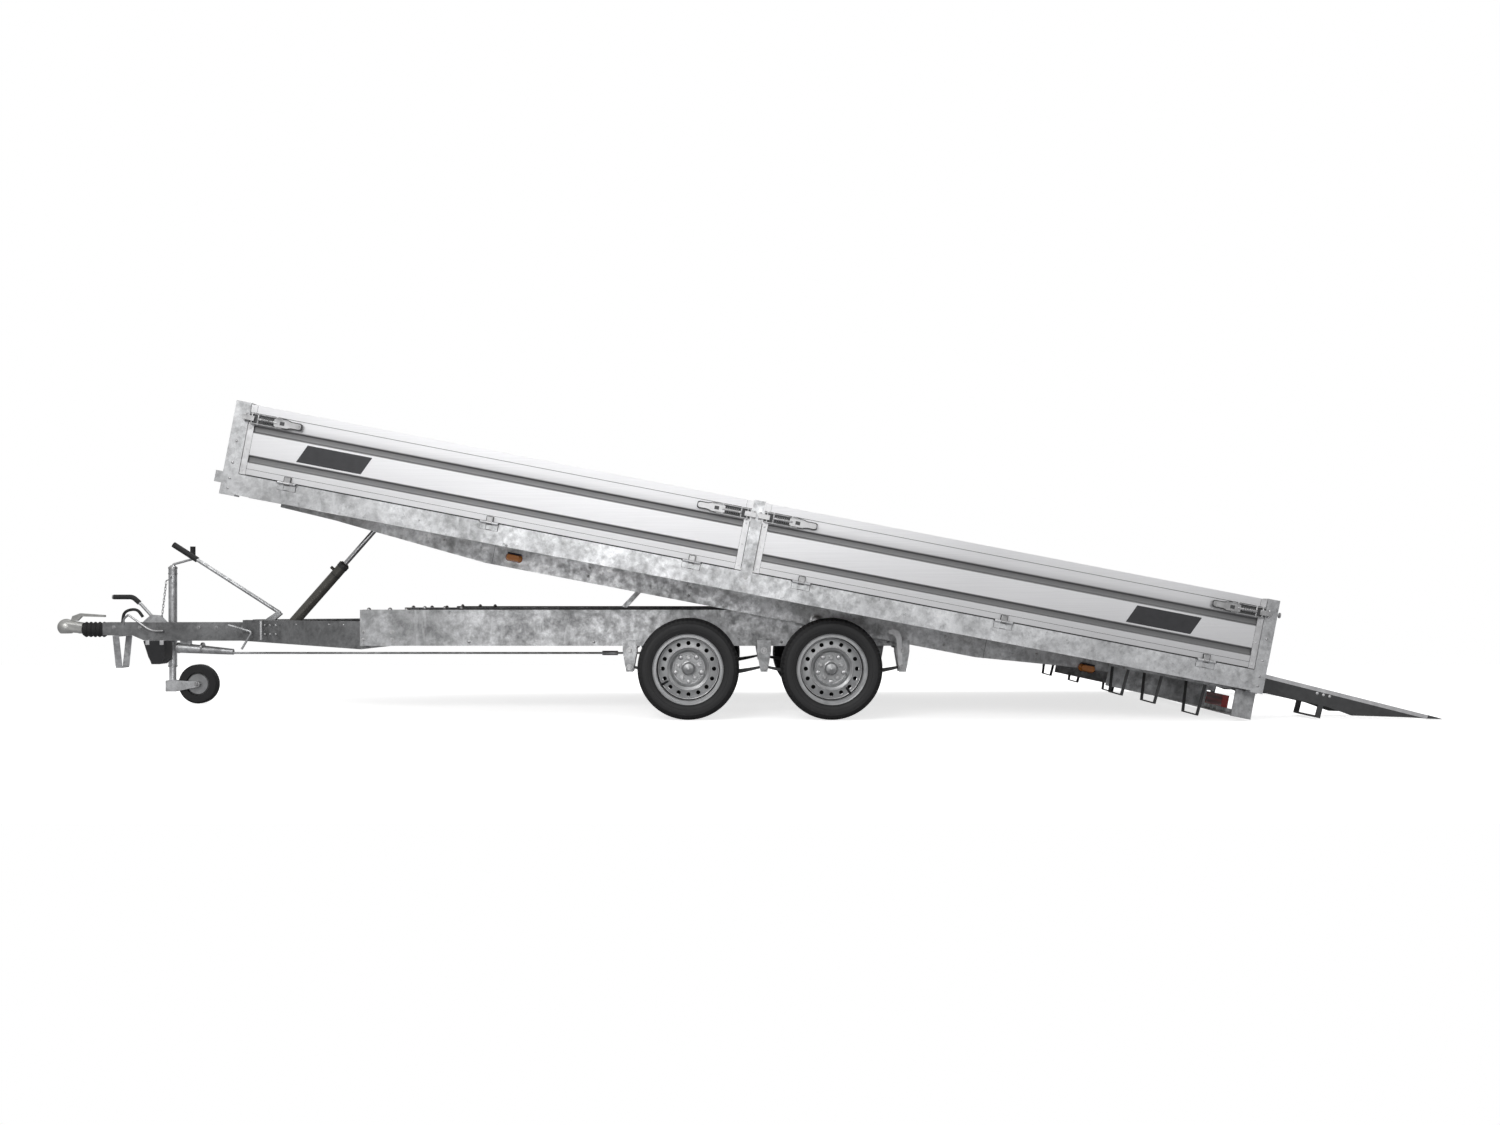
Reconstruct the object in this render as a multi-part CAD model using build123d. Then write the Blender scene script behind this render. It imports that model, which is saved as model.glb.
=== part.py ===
from build123d import *
import math
import os

# Tandem-axle tilt-bed flatbed trailer with drop sides, its bed tilted to load.
# X runs to the rear, Y across (the near side is -Y), Z up from the ground, in millimetres.
# Places along X are counted from the middle between the axles; save() then moves the
# whole trailer so that X = 0 is halfway between the coupling's nose and the ramps' tips.
# Places across are given for the +Y side and mirrored.

# Wheels and axles
AXLE_SPACING = 737.0
TYRE_R = 262.0
TYRE_WIDTH = 195.0
TYRE_OUTER_Y = 980.0
RIM_BEAD_R = 168.0
RIM_FLANGE_R = 182.0
RIM_WALL = 5.0
DISC_THICKNESS = 6.0
VENT_COUNT = 16
VENT_R = 11.0
VENT_CIRCLE_R = 132.0
HUB_CAP_R = 34.0
AXLE_R = 30.0
DRUM_R = 112.0
DRUM_INNER_Y = 692.0
DRUM_OUTER_Y = 830.0
HUB_R = 60.0
RUNNING_GAP = 0.3

# Chassis rails
RAIL_FRONT_X = -2171.0
RAIL_REAR_X = 788.0
RAIL_BOTTOM_Z = 364.0
RAIL_TOP_Z = 560.0
RAIL_TAPER_X = 288.0
RAIL_TAIL_TOP_Z = 460.0
RAIL_INNER_Y = 460.0
RAIL_OUTER_Y = 520.0
RAIL_WALL = 5.0
PAD_HEIGHT = 8.0
PAD_FRONT_X = RAIL_FRONT_X + 321.0
CROSS_X = (-1980.0, -1300.0, -60.0, 700.0)
CROSS_WIDTH = 60.0
CROSS_BOTTOM_Z = 385.0
CROSS_TOP_Z = 452.0

# Drawbar
ARM_FRONT_X = -2960.0
ARM_DIP_X = -2181.0
ARM_REAR_X = ARM_DIP_X + 187.0
ARM_FRONT_INNER_Y = 50.3
ARM_WIDTH = 60.0
ARM_TOP_Z = 495.0
ARM_FRONT_BOTTOM_Z = 376.0
ARM_DIP_Z = 342.0
ARM_WALL = 6.0
VALVE_SEAT_Y = -140.7
VALVE_STEM = 11.3
BOX_FRONT_X = -3793.0
BOX_REAR_X = -2800.0
BOX_STEP_X = -3620.0
BOX_STEP_LENGTH = 70.0
BOX_HALF_WIDTH = 50.0
BOX_TOP_Z = 480.0
BOX_NOSE_BOTTOM_Z = 405.0
BOX_BOTTOM_Z = 374.0
BOX_WALL = 5.0

# Coupling head and bellows
NOSE_X = -4075.0
NOSE_R = 48.0
COUPLING_Z = 452.0
HEAD_REAR_X = -3922.0
SOCKET_R = 25.4
SOCKET_DEPTH = 34.0
SOCKET_MOUTH_Z = 415.0
BELLOWS_R = 45.0
BELLOWS_Z = 438.0
BELLOWS_FOLDS = 5
SHAFT_R = 24.0
SHAFT_IN_HEAD = 30.0

# Handbrake lever, hoop and chock on the drawbar box, placed from its front end
LEVER_START = 49.0
LEVER_RISE = 147.0
LEVER_R = 9.0
HOOP_SET_BACK = 75.0
HOOP_BAR_WIDTH = 36.0
HOOP_BAR = 6.0
HOOP_TOP_HALF = 88.0
HOOP_LOW_HALF = 46.0
HOOP_LOW_Z = 216.0
CHOCK_START = 250.0
CHOCK_LENGTH = 122.0
CHOCK_LOW_Z = 240.0
CHOCK_INNER_Y = -84.0
CHOCK_WIDTH = 108.0

# Jockey wheel, on the far side of the drawbar box
JOCKEY_X = -3446.0
JOCKEY_Y = 92.0
JOCKEY_TUBE_R = 24.0
JOCKEY_TUBE_WALL = 3.0
JOCKEY_TUBE_BOTTOM_Z = 214.0
JOCKEY_TUBE_TOP_Z = 792.0
JOCKEY_LEG_R = 20.0
JOCKEY_BLOCK_TOP_Z = 137.0
JOCKEY_BLOCK_BOTTOM_Z = 72.0
JOCKEY_TRAIL = 156.0
JOCKEY_WHEEL_R = 115.0
JOCKEY_WHEEL_WIDTH = 56.0
JOCKEY_RIM_R = 68.0
JOCKEY_FORK_GAP = 6.0
JOCKEY_FORK_WALL = 5.0

# Running gear
HANGER_X = (-690.0, 25.0, 762.0)
HANGER_LENGTH = 74.0
HANGER_TOP_Z = 400.0
HANGER_BOTTOM_Z = 232.0
HANGER_INNER_Y = 600.0
HANGER_OUTER_Y = 680.0
HANGER_WALL = 7.0
HANGER_PIN_R = 9.0
SPRING_INNER_Y = 610.0
SPRING_OUTER_Y = 670.0
SPRING_END_Z = 262.0
SPRING_SEAT_GAP = 0.8
SPRING_END_THICKNESS = 9.0
SPRING_MIDDLE_THICKNESS = 27.0

# Brake rod under the drawbar, from the spring can to the front axle
SPRING_CAN_START = 418.0
SPRING_CAN_LENGTH = 321.0
BRAKE_ROD_Z = 301.0
BRAKE_ROD_R = 6.0

# Hand pump and valve lever, placed from the drawbar box's rear end
PUMP_REACH = 598.0
PUMP_RISE = 449.0
PUMP_LEVER_R = 11.0
VALVE_BACK = 92.0
VALVE_Z = 428.0

# Lift cylinder
FOOT_X = -2747.0
FOOT_Z = 430.0
EYE_U = -2529.0
EYE_N = 124.0
BARREL_R = 30.0
BARREL_START = 12.0
BARREL_LENGTH = 512.0
ROD_R = 14.0
ROD_START = 60.0
EYE_R = 26.0
LUG_HALF_WIDTH = 33.7
EAR_THICKNESS = 10.0

# Bed, drawn level with its tilt axis at u = 0, n = 0 and then turned
TILT_DEG = 10.9
PIVOT_X = 308.0
PIVOT_Z = 505.0
PIVOT_PIN_R = 19.7
PIVOT_HOLE_R = 20.0
BED_HALF_WIDTH = 1090.0
BED_FRONT_U = -3016.0
BED_REAR_U = 2178.0
FRONT_POST_U = BED_FRONT_U - 78.0
REAR_POST_U = BED_REAR_U + 62.0
RAIL_LOW_N = 72.0
FLOOR_N = 180.0
FLOOR_THICKNESS = 18.0
SIDE_FLANGE = 45.0
SIDE_WALL = 5.0
BED_CROSS_LOW_N = 70.0
BED_CROSS_WIDTH = 50.0
BED_CROSS_U = (-2960.0, -2420.0, -1900.0, -1400.0, -900.0, -390.0)
BED_CROSS_U += (100.0, 600.0, 1100.0, 1600.0, 1900.0)
BEAM_INNER_Y = 535.0
BEAM_OUTER_Y = 590.0
BEAM_WALL = 5.0
BEAM_LOW_N = -34.0
# u, n of the beam's lower edge
BEAM_LOWER_EDGE = (
    (-2950.0, 52.0),
    (-2650.0, 38.0),
    (-2437.0, 19.0),
    (-1810.0, BEAM_LOW_N),
    (880.0, BEAM_LOW_N),
    (1347.0, 9.0),
    (1619.0, 26.0),
    (BED_REAR_U, 30.0),
)

# Drop boards
BOARD_HEIGHT = 354.0
BOARD_THICKNESS = 25.0
BOARD_BASE_GAP = 1.0
BOARD_END_GAP = 2.0
BOARD_FACE_Y = BED_HALF_WIDTH - 3.0
GROOVE_DEPTH = 9.0
GROOVE_SLOPE = 8.0
# distance below the board's top edge, height of the groove
GROOVES = ((101.0, 38.0), (254.0, 38.0))
MIDDLE_POST_U = -419.0
MIDDLE_POST_WIDTH = 60.0
MIDDLE_POST_LOW_N = 80.0
POST_INNER_Y = BED_HALF_WIDTH - 70.0
POST_TOP_EXTRA = 6.0
POST_WALL = 5.0
HINGE_AXIS_Y = BED_HALF_WIDTH + 12.0
HINGE_AXIS_N = FLOOR_N - 4.0
KNUCKLE_R = 7.0
KNUCKLE_LENGTH = 30.0
KNUCKLE_GAP = 0.5
HINGE_INSET = 250.0
LATCH_LENGTH = 275.0
LATCH_HEIGHT = 52.0
LATCH_TOP_BELOW_EDGE = 44.0
LATCH_BASE = 5.0
CLAW_INNER_Y = HINGE_AXIS_Y + 1.0
CLAW_OUTER_Y = CLAW_INNER_Y + 14.0
CLAW_REACH = 26.0
TAILGATE_OUTER_U = REAR_POST_U - 7.0
TAIL_HINGE_U = TAILGATE_OUTER_U + 13.0
TAIL_HINGE_N = FLOOR_N - 6.0
TAIL_KNUCKLE_R = 5.6
TAIL_HINGE_Y = (-420.0, 0.0, 420.0)

# Rear frame, ramp stowage and lamps
REAR_CROSS_FRONT_U = BED_REAR_U + RUNNING_GAP
REAR_CROSS_LOW_N = 60.0
LAMP_BAR_LOW_N = -75.0
LAMP_BAR_HEIGHT = 30.0
LAMP_BAR_HALF_WIDTH = BED_HALF_WIDTH - 90.0
END_PLATE = 8.0
STOWAGE_FRONT_U = 1575.0
STOWAGE_INNER_Y = 655.0
STOWAGE_OUTER_Y = 945.0
STOWAGE_BAR = 12.0
# u of each ramp hoop, n of its lowest point
HOOPS = ((1590.0, -80.0), (1764.0, -90.0), (1991.0, -108.0))
HOOP_TAPER = 38.0
HOOP_THICKNESS = 7.0
HOOP_WIDTH = 14.0
SIDE_LAMP_U = (-1661.0, 1478.0)
SIDE_LAMP_N = 22.0
TAIL_LAMP_Y = (300.0, 560.0)
TAIL_LAMP_DEPTH = 34.0
TAIL_LAMP_HEIGHT = 90.0
PROP_U = (-1066.0, -795.0)
PROP_Y = (-330.0, -285.0)

# Ramps
RAMP_PIVOT_U = REAR_POST_U + 24.0
RAMP_PIVOT_N = 160.0
RAMP_TOP = 10.0
RAMP_LENGTH = 985.0
RAMP_TIP_Z = 3.0
RAMP_INNER_Y = 640.0
RAMP_OUTER_Y = 920.0
RAMP_WALL = 8.0
RAMP_TUBE_R = 9.0
RAMP_EAR_GAP = 17.0
RAMP_RUNGS = 14
RAMP_RUNG_WIDTH = 26.0
RAMP_LEG_R = 340.0
RAMP_LEG_THICKNESS = 10.0
RAMP_LEG_WIDTH = 26.0
RAMP_LEG_LOW = -142.0
RAMP_LIP = 10.0
# distance from the pivot, depth of the side plate below the ramp's top
RAMP_DEPTHS = ((-5.0, 55.0), (60.0, 92.0), (389.0, 85.0), (519.0, 98.0), (794.0, 38.0), (900.0, 18.0))

TILT = math.radians(TILT_DEG)


def bed_point(u, n):
    """World X and Z of a point given in the bed's own directions."""
    x = PIVOT_X + u * math.cos(TILT) + n * math.sin(TILT)
    z = PIVOT_Z - u * math.sin(TILT) + n * math.cos(TILT)
    return x, z


RAMP_X, RAMP_Z = bed_point(RAMP_PIVOT_U, RAMP_PIVOT_N)
RAMP_REACH = math.hypot(RAMP_LENGTH, RAMP_TOP)
RAMP_ANGLE = math.asin((RAMP_Z - RAMP_TIP_Z) / RAMP_REACH) + math.atan2(RAMP_TOP, RAMP_LENGTH)
TIP_X = RAMP_X + RAMP_LENGTH * math.cos(RAMP_ANGLE) + RAMP_TOP * math.sin(RAMP_ANGLE)
MIDDLE_X = (NOSE_X + TIP_X) / 2


def save(name, shape):
    """Write one sub-part, moved so that the trailer is centred along X."""
    export_step(Pos(-MIDDLE_X, 0, 0) * shape, f"parts/{name}.step")


def block(x, y, z):
    """A box from three (low, high) pairs."""
    centre = Pos((x[0] + x[1]) / 2, (y[0] + y[1]) / 2, (z[0] + z[1]) / 2)
    return centre * Box(x[1] - x[0], y[1] - y[0], z[1] - z[0])


def slab(points, y):
    """A plate whose outline is drawn from the side, between two places across."""
    outline = make_face(Polyline(*points, close=True))
    return extrude(Plane.XZ.offset(-y[1]) * outline, amount=y[1] - y[0])


def channel(points, web_y, lip_y, wall):
    """A folded channel from its side outline, open towards lip_y."""
    outer = slab(points, (min(web_y, lip_y), max(web_y, lip_y)))
    inner_face = offset(make_face(Polyline(*points, close=True)), amount=-wall)
    step = wall if web_y < lip_y else -wall
    low, high = sorted((web_y + step, lip_y + step))
    return outer - extrude(Plane.XZ.offset(-high) * inner_face, amount=high - low)


def across(radius, y, x=0.0, z=0.0):
    """A round bar along Y."""
    return Pos(x, (y[0] + y[1]) / 2, z) * Rot(90, 0, 0) * Cylinder(radius, y[1] - y[0])


def far_and_near(shape):
    """The shape and its mirror image on the other side."""
    return Compound([shape, mirror(shape, about=Plane.XZ)])


def group(shapes):
    """Several separate solids as one sub-part."""
    return Compound([solid for shape in shapes for solid in shape.solids()])


def on_bed(shape):
    """Turn a shape drawn on the level bed to the bed's tilt."""
    return Pos(PIVOT_X, 0, PIVOT_Z) * Rot(0, TILT_DEG, 0) * shape


def on_ramp(shape):
    """Turn a shape drawn on a level ramp to the ramp's slope."""
    return Pos(RAMP_X, 0, RAMP_Z) * Rot(0, math.degrees(RAMP_ANGLE), 0) * shape


def bent_bar(points, radius, bend):
    """A round bar along corners given in three dimensions."""
    path = FilletPolyline(*points, radius=bend)
    start = Plane(origin=path @ 0, z_dir=path % 0)
    return sweep(start * Circle(radius), path=path)


def chassis_rails():
    """Two folded rails, lower behind the tilt axis, with the axis pins on their webs."""
    side = [
        (RAIL_FRONT_X, RAIL_BOTTOM_Z),
        (RAIL_REAR_X, RAIL_BOTTOM_Z),
        (RAIL_REAR_X, RAIL_TAIL_TOP_Z),
        (RAIL_TAPER_X, RAIL_TOP_Z),
        (RAIL_FRONT_X, RAIL_TOP_Z),
    ]
    rail = channel(side, RAIL_OUTER_Y, RAIL_INNER_Y, RAIL_WALL)
    pin = across(PIVOT_PIN_R, (RAIL_OUTER_Y - RAIL_WALL, BEAM_OUTER_Y + RAIL_WALL), PIVOT_X, PIVOT_Z)
    return far_and_near(rail + pin)


def rail_pads():
    """Rubber strips on the rails, which carry the lowered bed."""
    strip = block(
        (PAD_FRONT_X, RAIL_TAPER_X - PAD_HEIGHT),
        (RAIL_INNER_Y, RAIL_OUTER_Y),
        (RAIL_TOP_Z, RAIL_TOP_Z + PAD_HEIGHT),
    )
    return far_and_near(strip)


def chassis_cross_members():
    """Folded cross members between the rails."""
    members = []
    for x in CROSS_X:
        span = (RAIL_WALL - RAIL_OUTER_Y, RAIL_OUTER_Y - RAIL_WALL)
        outer = block((x, x + CROSS_WIDTH), span, (CROSS_BOTTOM_Z, CROSS_TOP_Z))
        pocket_z = (CROSS_BOTTOM_Z + RAIL_WALL, CROSS_TOP_Z - RAIL_WALL)
        members.append(outer - block((x + RAIL_WALL, x + CROSS_WIDTH + RAIL_WALL), span, pocket_z))
    return group(members)


def drawbar_arms():
    """The two arms of the A-frame, folded from plate and lapped inside the rails."""
    rear_outer = RAIL_INNER_Y
    plan = [
        (ARM_FRONT_X, ARM_FRONT_INNER_Y),
        (ARM_DIP_X, rear_outer - ARM_WIDTH),
        (ARM_REAR_X, rear_outer - ARM_WIDTH),
        (ARM_REAR_X, rear_outer),
        (ARM_DIP_X, rear_outer),
        (ARM_FRONT_X, ARM_FRONT_INNER_Y + ARM_WIDTH),
    ]
    side = [
        (ARM_FRONT_X, ARM_FRONT_BOTTOM_Z),
        (ARM_DIP_X, ARM_DIP_Z),
        (ARM_REAR_X, RAIL_BOTTOM_Z),
        (ARM_REAR_X, ARM_TOP_Z),
        (ARM_FRONT_X, ARM_TOP_Z),
    ]
    height = ARM_TOP_Z - ARM_DIP_Z
    solid = extrude(Plane.XY.offset(ARM_DIP_Z) * make_face(Polyline(*plan, close=True)), amount=height)
    solid = solid & slab(side, (0, rear_outer))
    inner_plan = [(x, y - ARM_WALL) for x, y in plan]
    inner = extrude(Plane.XY.offset(ARM_DIP_Z) * make_face(Polyline(*inner_plan, close=True)), amount=height)
    inner_side = offset(make_face(Polyline(*side, close=True)), amount=-ARM_WALL)
    inner = inner & extrude(Plane.XZ.offset(-rear_outer) * inner_side, amount=rear_outer)
    return far_and_near(solid - inner)


def overrun_box():
    """The drawbar box, its bracket plate for the cylinder's foot and the pump's seat."""
    step_end = BOX_STEP_X + BOX_STEP_LENGTH
    side = [
        (BOX_FRONT_X, BOX_NOSE_BOTTOM_Z),
        (BOX_STEP_X, BOX_NOSE_BOTTOM_Z),
        (step_end, BOX_BOTTOM_Z),
        (BOX_REAR_X, BOX_BOTTOM_Z),
        (BOX_REAR_X, BOX_TOP_Z),
        (BOX_FRONT_X, BOX_TOP_Z),
    ]
    box = slab(side, (-BOX_HALF_WIDTH, BOX_HALF_WIDTH))
    inside_y = (-BOX_HALF_WIDTH + BOX_WALL, BOX_HALF_WIDTH - BOX_WALL)
    inside_z = (BOX_BOTTOM_Z + BOX_WALL, BOX_TOP_Z - BOX_WALL)
    box -= block((step_end, BOX_REAR_X), inside_y, inside_z)
    arm_slope = (RAIL_INNER_Y - ARM_WIDTH - ARM_FRONT_INNER_Y) / (ARM_DIP_X - ARM_FRONT_X)
    plate_y = ARM_FRONT_INNER_Y + (BOX_REAR_X - ARM_FRONT_X) * arm_slope
    plate = block(
        (BOX_REAR_X, BOX_REAR_X + EAR_THICKNESS),
        (-plate_y, plate_y),
        (BOX_BOTTOM_Z, BOX_TOP_Z),
    )
    window_half = LUG_HALF_WIDTH - BOX_WALL
    plate -= block(
        (BOX_REAR_X, BOX_REAR_X + EAR_THICKNESS),
        (-window_half, window_half),
        (FOOT_Z - window_half, FOOT_Z + window_half),
    )
    ear_y = (LUG_HALF_WIDTH + RUNNING_GAP, LUG_HALF_WIDTH + RUNNING_GAP + EAR_THICKNESS)
    ear_half = BARREL_R - BOX_WALL
    ear_x = (BOX_REAR_X + EAR_THICKNESS, FOOT_X)
    ear = block(ear_x, ear_y, (FOOT_Z - ear_half, FOOT_Z + ear_half))
    ear += across(BARREL_R, ear_y, FOOT_X, FOOT_Z)
    return box + plate + ear + mirror(ear, about=Plane.XZ)


def coupling_head():
    """Cast ball coupling with its socket, top handle and the sliding shaft."""
    nose_x = NOSE_X + NOSE_R
    head = Pos(nose_x, 0, COUPLING_Z) * Sphere(NOSE_R)
    head -= block(
        (NOSE_X, nose_x + NOSE_R),
        (-NOSE_R, NOSE_R),
        (COUPLING_Z - NOSE_R, SOCKET_MOUTH_Z),
    )
    sections = [
        Plane.YZ.offset(nose_x) * Pos(0, COUPLING_Z + 6) * RectangleRounded(80, 70, 20),
        Plane.YZ.offset(HEAD_REAR_X) * Pos(0, COUPLING_Z - 6) * RectangleRounded(62, 62, 20),
    ]
    head += loft(sections)
    shaft_x = HEAD_REAR_X - SHAFT_IN_HEAD
    head += Pos(shaft_x, 0, BELLOWS_Z) * Rot(0, 90, 0) * Cylinder(
        SHAFT_R, BOX_FRONT_X - shaft_x, align=(Align.CENTER, Align.CENTER, Align.MIN)
    )
    socket = Pos(nose_x, 0, SOCKET_MOUTH_Z) * Cylinder(
        SOCKET_R, SOCKET_DEPTH, align=(Align.CENTER, Align.CENTER, Align.MIN)
    )
    head -= socket
    handle = [
        (nose_x + 30, COUPLING_Z + 36),
        (nose_x + 66, COUPLING_Z + 36),
        (nose_x + 92, COUPLING_Z + 62),
        (nose_x + 225, COUPLING_Z + 58),
        (nose_x + 225, COUPLING_Z + 70),
        (nose_x + 84, COUPLING_Z + 80),
        (nose_x + 40, COUPLING_Z + 64),
    ]
    return head + slab(handle, (-13, 13))


def bellows():
    """Rubber bellows between the coupling head and the drawbar box."""
    start = HEAD_REAR_X
    length = BOX_FRONT_X - start
    pitch = length / BELLOWS_FOLDS
    outline = [(start, SHAFT_R + RUNNING_GAP)]
    for fold in range(BELLOWS_FOLDS):
        outline.append((start + fold * pitch, BELLOWS_R - 9))
        outline.append((start + (fold + 0.5) * pitch, BELLOWS_R))
    outline.append((start + length, BELLOWS_R - 9))
    outline.append((start + length, SHAFT_R + RUNNING_GAP))
    ring = revolve(Plane.XZ * make_face(Polyline(*outline, close=True)), axis=Axis.X)
    return Pos(0, 0, BELLOWS_Z) * ring


def handbrake_lever():
    """Bent handbrake lever with its grip, and its bracket on the box."""
    start = BOX_FRONT_X + LEVER_START
    top = BOX_TOP_Z + LEVER_RISE
    points = [(start, 0, top), (start + 105, 0, top), (start + 154, 0, top - 45)]
    points.append((start + 225, 0, BOX_TOP_Z + 25))
    lever = bent_bar(points, LEVER_R, 30)
    grip = Pos(start + 42, 0, top) * Rot(0, 90, 0) * Cylinder(LEVER_R + 4, 110)
    foot = BOX_FRONT_X + 213
    bracket = [
        (foot, BOX_TOP_Z),
        (foot + 140, BOX_TOP_Z),
        (foot + 100, BOX_TOP_Z + 40),
        (foot + 50, BOX_TOP_Z + 44),
    ]
    return lever + grip + slab(bracket, (-LEVER_R - 2, LEVER_R + 2))


def drawbar_hoop():
    """Flat-bar hoop hung across the drawbar's nose."""
    x = (BOX_FRONT_X + HOOP_SET_BACK, BOX_FRONT_X + HOOP_SET_BACK + HOOP_BAR_WIDTH)
    top, low = HOOP_TOP_HALF, HOOP_LOW_HALF
    bar = HOOP_BAR
    top_z = BOX_NOSE_BOTTOM_Z
    outer = [(-top, top_z), (top, top_z), (low, HOOP_LOW_Z), (-low, HOOP_LOW_Z)]
    inner = [
        (bar - top, top_z - bar),
        (top - bar, top_z - bar),
        (low - bar, HOOP_LOW_Z + bar),
        (bar - low, HOOP_LOW_Z + bar),
    ]
    faces = [make_face(Polyline(*points, close=True)) for points in (outer, inner)]
    solids = [extrude(Plane.YZ.offset(x[0]) * face, amount=x[1] - x[0]) for face in faces]
    return solids[0] - solids[1]


def wheel_chock():
    """Black wheel chock in its holder under the box."""
    front, rear = BOX_FRONT_X + CHOCK_START, BOX_FRONT_X + CHOCK_START + CHOCK_LENGTH
    outline = [
        (front, BOX_BOTTOM_Z),
        (rear, BOX_BOTTOM_Z),
        (rear, CHOCK_LOW_Z + 30),
        (rear - 29, CHOCK_LOW_Z),
        (rear - 79, CHOCK_LOW_Z),
    ]
    chock = slab(outline, (CHOCK_INNER_Y, CHOCK_INNER_Y + CHOCK_WIDTH))
    cheek = across(150, (CHOCK_INNER_Y - 6, CHOCK_INNER_Y + CHOCK_WIDTH + 6), front - 97, 200)
    return chock - cheek


def brake_linkage():
    """Spring cylinder under the box, and the rod back to the front axle."""
    front = BOX_FRONT_X + SPRING_CAN_START
    rear = front + SPRING_CAN_LENGTH
    sections = [
        Plane.YZ.offset(front) * Pos(0, BRAKE_ROD_Z + 31) * Circle(30),
        Plane.YZ.offset(rear) * Pos(0, BRAKE_ROD_Z + 7) * Circle(17),
    ]
    cylinder = loft(sections)
    hanger = block((front + 15, front + 75), (-12, 12), (BRAKE_ROD_Z + 39, BOX_BOTTOM_Z))
    axle_front_x = -AXLE_SPACING / 2 - AXLE_R
    rod_start = rear - 6
    along = Rot(0, 90, 0)
    rod_middle = (rod_start + axle_front_x) / 2
    rod = Pos(rod_middle, 0, BRAKE_ROD_Z) * along * Cylinder(BRAKE_ROD_R, axle_front_x - rod_start)
    turnbuckle = Pos(axle_front_x - 461.5, 0, BRAKE_ROD_Z) * along * Cylinder(BRAKE_ROD_R + 7, 90)
    yoke = block((axle_front_x - 14, axle_front_x + 8), (-60, 60), (BRAKE_ROD_Z - 9, BRAKE_ROD_Z + 9))
    axle_room = across(AXLE_R + RUNNING_GAP, (-70, 70), -AXLE_SPACING / 2, TYRE_R)
    return cylinder + hanger + rod + turnbuckle + (yoke - axle_room)


def hand_pump():
    """Pump bracket on the box with its long lever, and the valve lever on the near side."""
    x, top = BOX_REAR_X, BOX_TOP_Z
    base = [
        (x - 86, top),
        (x - 12, top),
        (x - 12, top + 12),
        (x + 30, top + 48),
        (x + 8, top + 66),
        (x - 50, top + 26),
    ]
    pump = slab(base, (-16, 16))
    end = (x - PUMP_REACH, 0, top + PUMP_RISE)
    bend = (x - 300, 0, top + 258)
    lever = bent_bar([end, bend, (x + 17, 0, top + 54)], PUMP_LEVER_R, 400)
    direction = Plane(origin=end, z_dir=(bend[0] - end[0], 0, bend[2] - end[2]))
    grip = direction * Cylinder(PUMP_LEVER_R + 5, 150, align=(Align.CENTER, Align.CENTER, Align.MIN))
    valve_x, valve_y, valve_z = x - VALVE_BACK, VALVE_SEAT_Y - VALVE_STEM, VALVE_Z
    corners = [
        (valve_x - 136, valve_y, valve_z + 40),
        (valve_x, valve_y, valve_z),
        (valve_x - 58, valve_y, valve_z - 98),
    ]
    valve = bent_bar(corners, 6, 12)
    stem = across(5, (valve_y, VALVE_SEAT_Y), valve_x - 6, valve_z)
    return group([pump + lever + grip, valve + stem])


def jockey_tube():
    """Jockey wheel's outer tube with its clamp on the box and the crank."""
    height = JOCKEY_TUBE_TOP_Z - JOCKEY_TUBE_BOTTOM_Z
    low = (Align.CENTER, Align.CENTER, Align.MIN)
    tube = Cylinder(JOCKEY_TUBE_R, height, align=low)
    tube -= Cylinder(JOCKEY_TUBE_R - JOCKEY_TUBE_WALL, height - 20, align=low)
    tube = Pos(JOCKEY_X, JOCKEY_Y, JOCKEY_TUBE_BOTTOM_Z) * tube
    clamp = block((JOCKEY_X - 40, JOCKEY_X + 40), (BOX_HALF_WIDTH, JOCKEY_Y + 32), (395, 465))
    clamp -= Pos(JOCKEY_X, JOCKEY_Y, 430) * Cylinder(JOCKEY_TUBE_R - 1, 100)
    top = JOCKEY_TUBE_TOP_Z
    points = [
        (JOCKEY_X, JOCKEY_Y, top - 4),
        (JOCKEY_X, JOCKEY_Y, top + 26),
        (JOCKEY_X + 118, JOCKEY_Y, top + 58),
        (JOCKEY_X + 118, JOCKEY_Y, top + 120),
    ]
    crank = bent_bar(points, 7, 12)
    knob = Pos(JOCKEY_X + 118, JOCKEY_Y, top + 96) * Cylinder(14, 66)
    return tube + clamp + crank + knob


def jockey_leg():
    """Inner tube that winds up and down."""
    top = JOCKEY_TUBE_TOP_Z - 240
    low = (Align.CENTER, Align.CENTER, Align.MIN)
    leg = Cylinder(JOCKEY_LEG_R, top - JOCKEY_BLOCK_TOP_Z - RUNNING_GAP, align=low)
    return Pos(JOCKEY_X, JOCKEY_Y, JOCKEY_BLOCK_TOP_Z + RUNNING_GAP) * leg


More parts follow.
